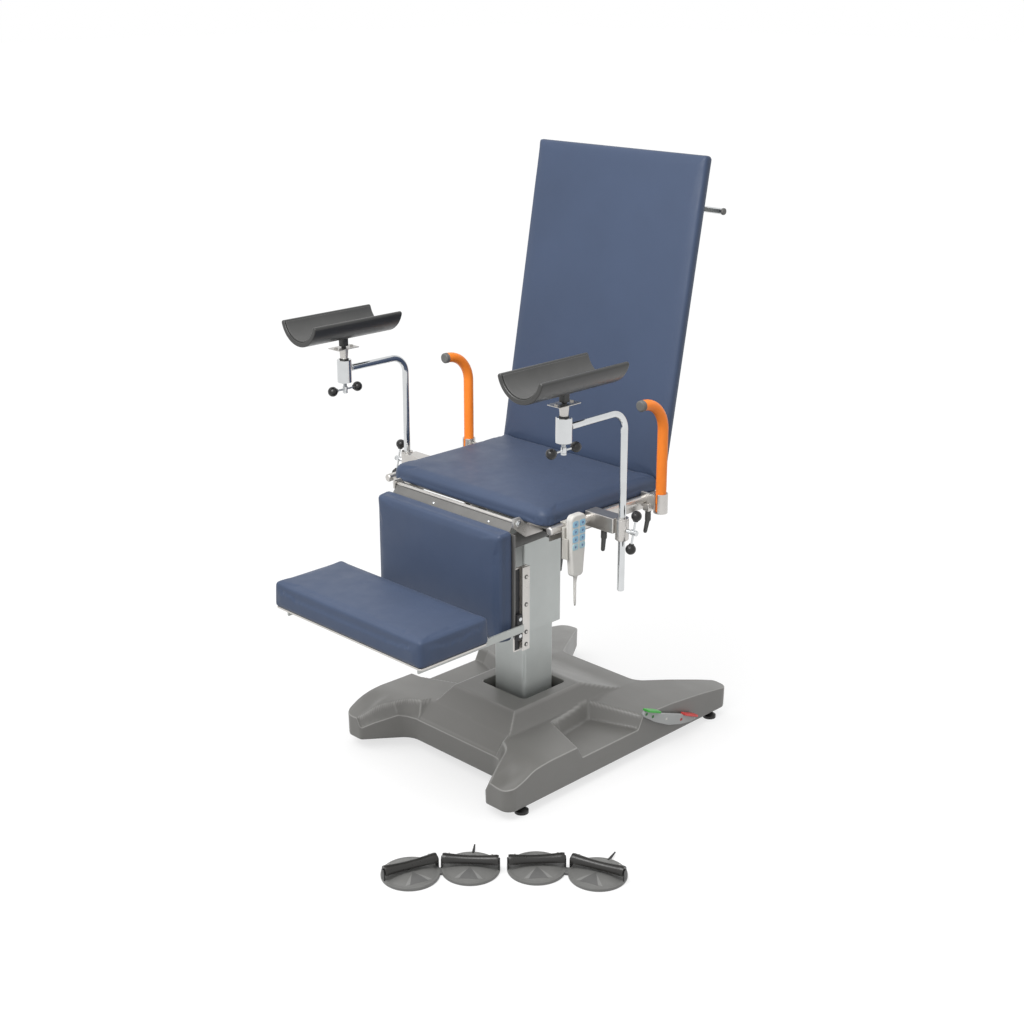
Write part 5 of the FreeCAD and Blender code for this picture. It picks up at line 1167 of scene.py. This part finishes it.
def discProfile(cfg):
    # foot, rounded rim, groove, then a low dome
    r = cfg["radius"]
    rim = [(r - 4, 0), (r - 0.8, 0.6), (r, 2), (r, 6.6), (r - 0.9, 8.4), (r - 2.6, 9), (r - 4.6, 9),
           (r - 5.4, 8.4), (r - 6.2, 8.6)]
    reach = (r - 7) * (1 - np.linspace(0, 0.96, 18))
    return np.vstack([rim, np.column_stack([reach, domeHeight(cfg, reach)])])


def wedgeSkin(cfg, near, far, wide, lift):
    # thin triangle that lies on the dome, from its point near the middle out towards the rim; the wider,
    # paler one carries a painted highlight
    t = np.linspace(0.05, 1, 14)[:, None]
    x = wide * t * np.linspace(-1, 1, 13)[None]
    y = near + (far - near) * t + 0 * x
    z = domeHeight(cfg, np.hypot(x, y))
    top, under = np.stack([x, y, z + lift], -1), np.stack([x, y, z - 1.5], -1)
    return loopSkin(np.concatenate([top, under[:, ::-1]], 1))


def rockerSkin(cfg):
    # arched section, narrower and lower towards the middle of the bar
    s = np.linspace(-1, 1, 25)[:, None]
    slim = (1 - cfg["waist"] * (1 - s ** 2)) * np.where(np.abs(s) > 0.999, 0.93, 1.0)
    a = np.linspace(0, math.pi, 15)
    wide, tall = cfg["barWide"], cfg["barTop"] - cfg["barLow"] - cfg["side"]
    arch = np.column_stack([np.cos(a) * wide, np.sin(a) * tall + cfg["side"]])
    section = np.vstack([arch, [(-wide, 1.2), (-wide + 1.2, 0), (wide - 1.2, 0), (wide, 1.2)]])
    x = s * cfg["barHalf"] + 0 * section[None, :, 0]
    return loopSkin(np.stack([x, section[None, :, 0] * slim, cfg["barLow"] + section[None, :, 1] * slim], -1))


def makeFootSwitches(cfg):
    profile = discProfile(cfg)
    inside = np.vstack([[(cfg["radius"] - 8, 4)], profile[6:]])
    cheek = slabSkin(cornerLine(cfg["cheek"], steps=8), *cfg["upright"], 0.8, 0.8)
    for name, sign in sides:
        parts, centres = [], []
        for rocker, x, y, heading in cfg[name]:
            turn = math.radians(heading)
            u = np.array((math.cos(turn), math.sin(turn), 0))
            v = np.cross(ez, u)
            at = np.array((x, y, 0.0))
            centres.append(at)
            parts += inKind("switchGrey", spinSkin(profile[:7], at, count=72), spinSkin(inside, at, count=72))
            parts += inKind("blackRubber", turned(cheek, at, v, ez, u), turned(cheek, at, -v, ez, -u))
            parts += [(turned(wedgeSkin(cfg, *shape), at, u, v), kind) for *shape, kind in cfg["wedges"]]
            out, aside, level = cfg["studAt"]
            bar = [(turned(rockerSkin(cfg), at, u, v), "barRubber")]
            for way in (-1, 1):
                spot = at + u * way * out + v * aside + ez * level
                bar.append((spinSkin([(2.6, 0), (2.6, 1.0), (1.8, 1.6)], spot, count=16), "stainless"))
            newPiece(rocker.replace("_", ".bar."), bar, rocker, [rocker])
        root = at + v * (cfg["radius"] - 2) + ez * cfg["glandZ"]
        parts.append((spinSkin(cfg["gland"], root, v, 24), "blackRubber"))
        onward = unit(centres[1] - centres[0])
        across = np.array((-onward[1], onward[0], 0))
        long, wide, tall = cfg["link"]
        link = slabSkin(roundRect(long / 2, wide / 2, 3), 0.5, tall, 0.8, 1.5)
        parts.append((turned(link, (centres[0] + centres[1]) / 2, onward, across), "switchDark"))
        newPiece(f"footSwitch{name.capitalize()}", parts, "base", [f"foot_switch_{name}"])


makeFootSwitches(footSwitch)
print("foot switches done")

pedal = {
    "x": (317, 325),
    "outline": ((147, 132, 12), (197, 99, 60), (256, 69, 80), (310, 53, 60), (355, 45, 40), (386, 47, 3),
                (313, 84, 60), (227, 116, 60), (174, 144, 14), (139, 150, 7)),
    "shaft": (8, 274, 258, 92), "tilt": 22.6, "padHalf": (31.5, 12), "padTall": 6,
    "green": (325, 179.7, 140.8), "red": (325, 347.7, 70.9),
    "marks": ((156, 138, 9, "markGreen"), (184, 121, 9, "markGreen"), (244, 93, 8, "handsetShell"),
              (311, 68, 9, "markRed")),
}


def makePedal(cfg):
    # curved flat arm on a cross shaft with a pad on each end and four small marks
    flat = cornerLine(cfg["outline"])
    near, far = cfg["x"]
    r, start, y, z = cfg["shaft"]
    hub = [(r, start - near), (r, 2), (r + 3, 2), (r + 3, 0.5)]
    parts = [(facing(slabSkin(flat, near, far, 1.6, 2.0)), "greyPaint"),
             (spinSkin(hub, (near, y, z), ex, 28), "greyPaint")]
    for py, pz, size, kind in cfg["marks"]:
        mark = roundRect(size / 2, size / 2.4, 1) + (py, pz)
        parts.append((facing(slabSkin(mark, far - 0.4, far + 0.4, 0.1, 0.1, steps=1)), kind))
    newPiece("brakePedal", parts, "brake", ["brake_pedal"])
    tilt = math.radians(cfg["tilt"])
    u, w = (0, math.cos(tilt), -math.sin(tilt)), (0, math.sin(tilt), math.cos(tilt))
    pad = slabSkin(roundRect(*cfg["padHalf"], 6), -cfg["padTall"] / 2, cfg["padTall"] / 2, 1.2, 2.2)
    for key, kind in (("green", "padGreen"), ("red", "padRed")):
        newPiece(f"brakePad.{key}", [(turned(pad, cfg[key], u, -ex, w), kind)], "brake", [f"brake_pad_{key}"])


makePedal(pedal)
print("brake pedal done")

nodeFinish = {  # nodes that keep their own shape
    "blackSteel": ("base_frame", "lift_drive", "tilt_actuator", "back_actuator"),
    "blackRubber": ("levelling_feet",),
    "columnAluminium": ("column_lower", "column_upper"),
    "stainless": ("column_head", "swivel_bush_left", "swivel_bush_right", "seat_frame"),
    "chrome": ("lift_rod", "back_rod", "leg_rod", "tilt_rod"),
    "capGrey": ("leg_actuator",),
    "leverGrey": ("control_box",),
}
for kind, names in nodeFinish.items():
    for name in names:
        nodes[name].data.materials.clear()
        nodes[name].data.materials.append(looks[kind])
print("carried-over nodes finished")
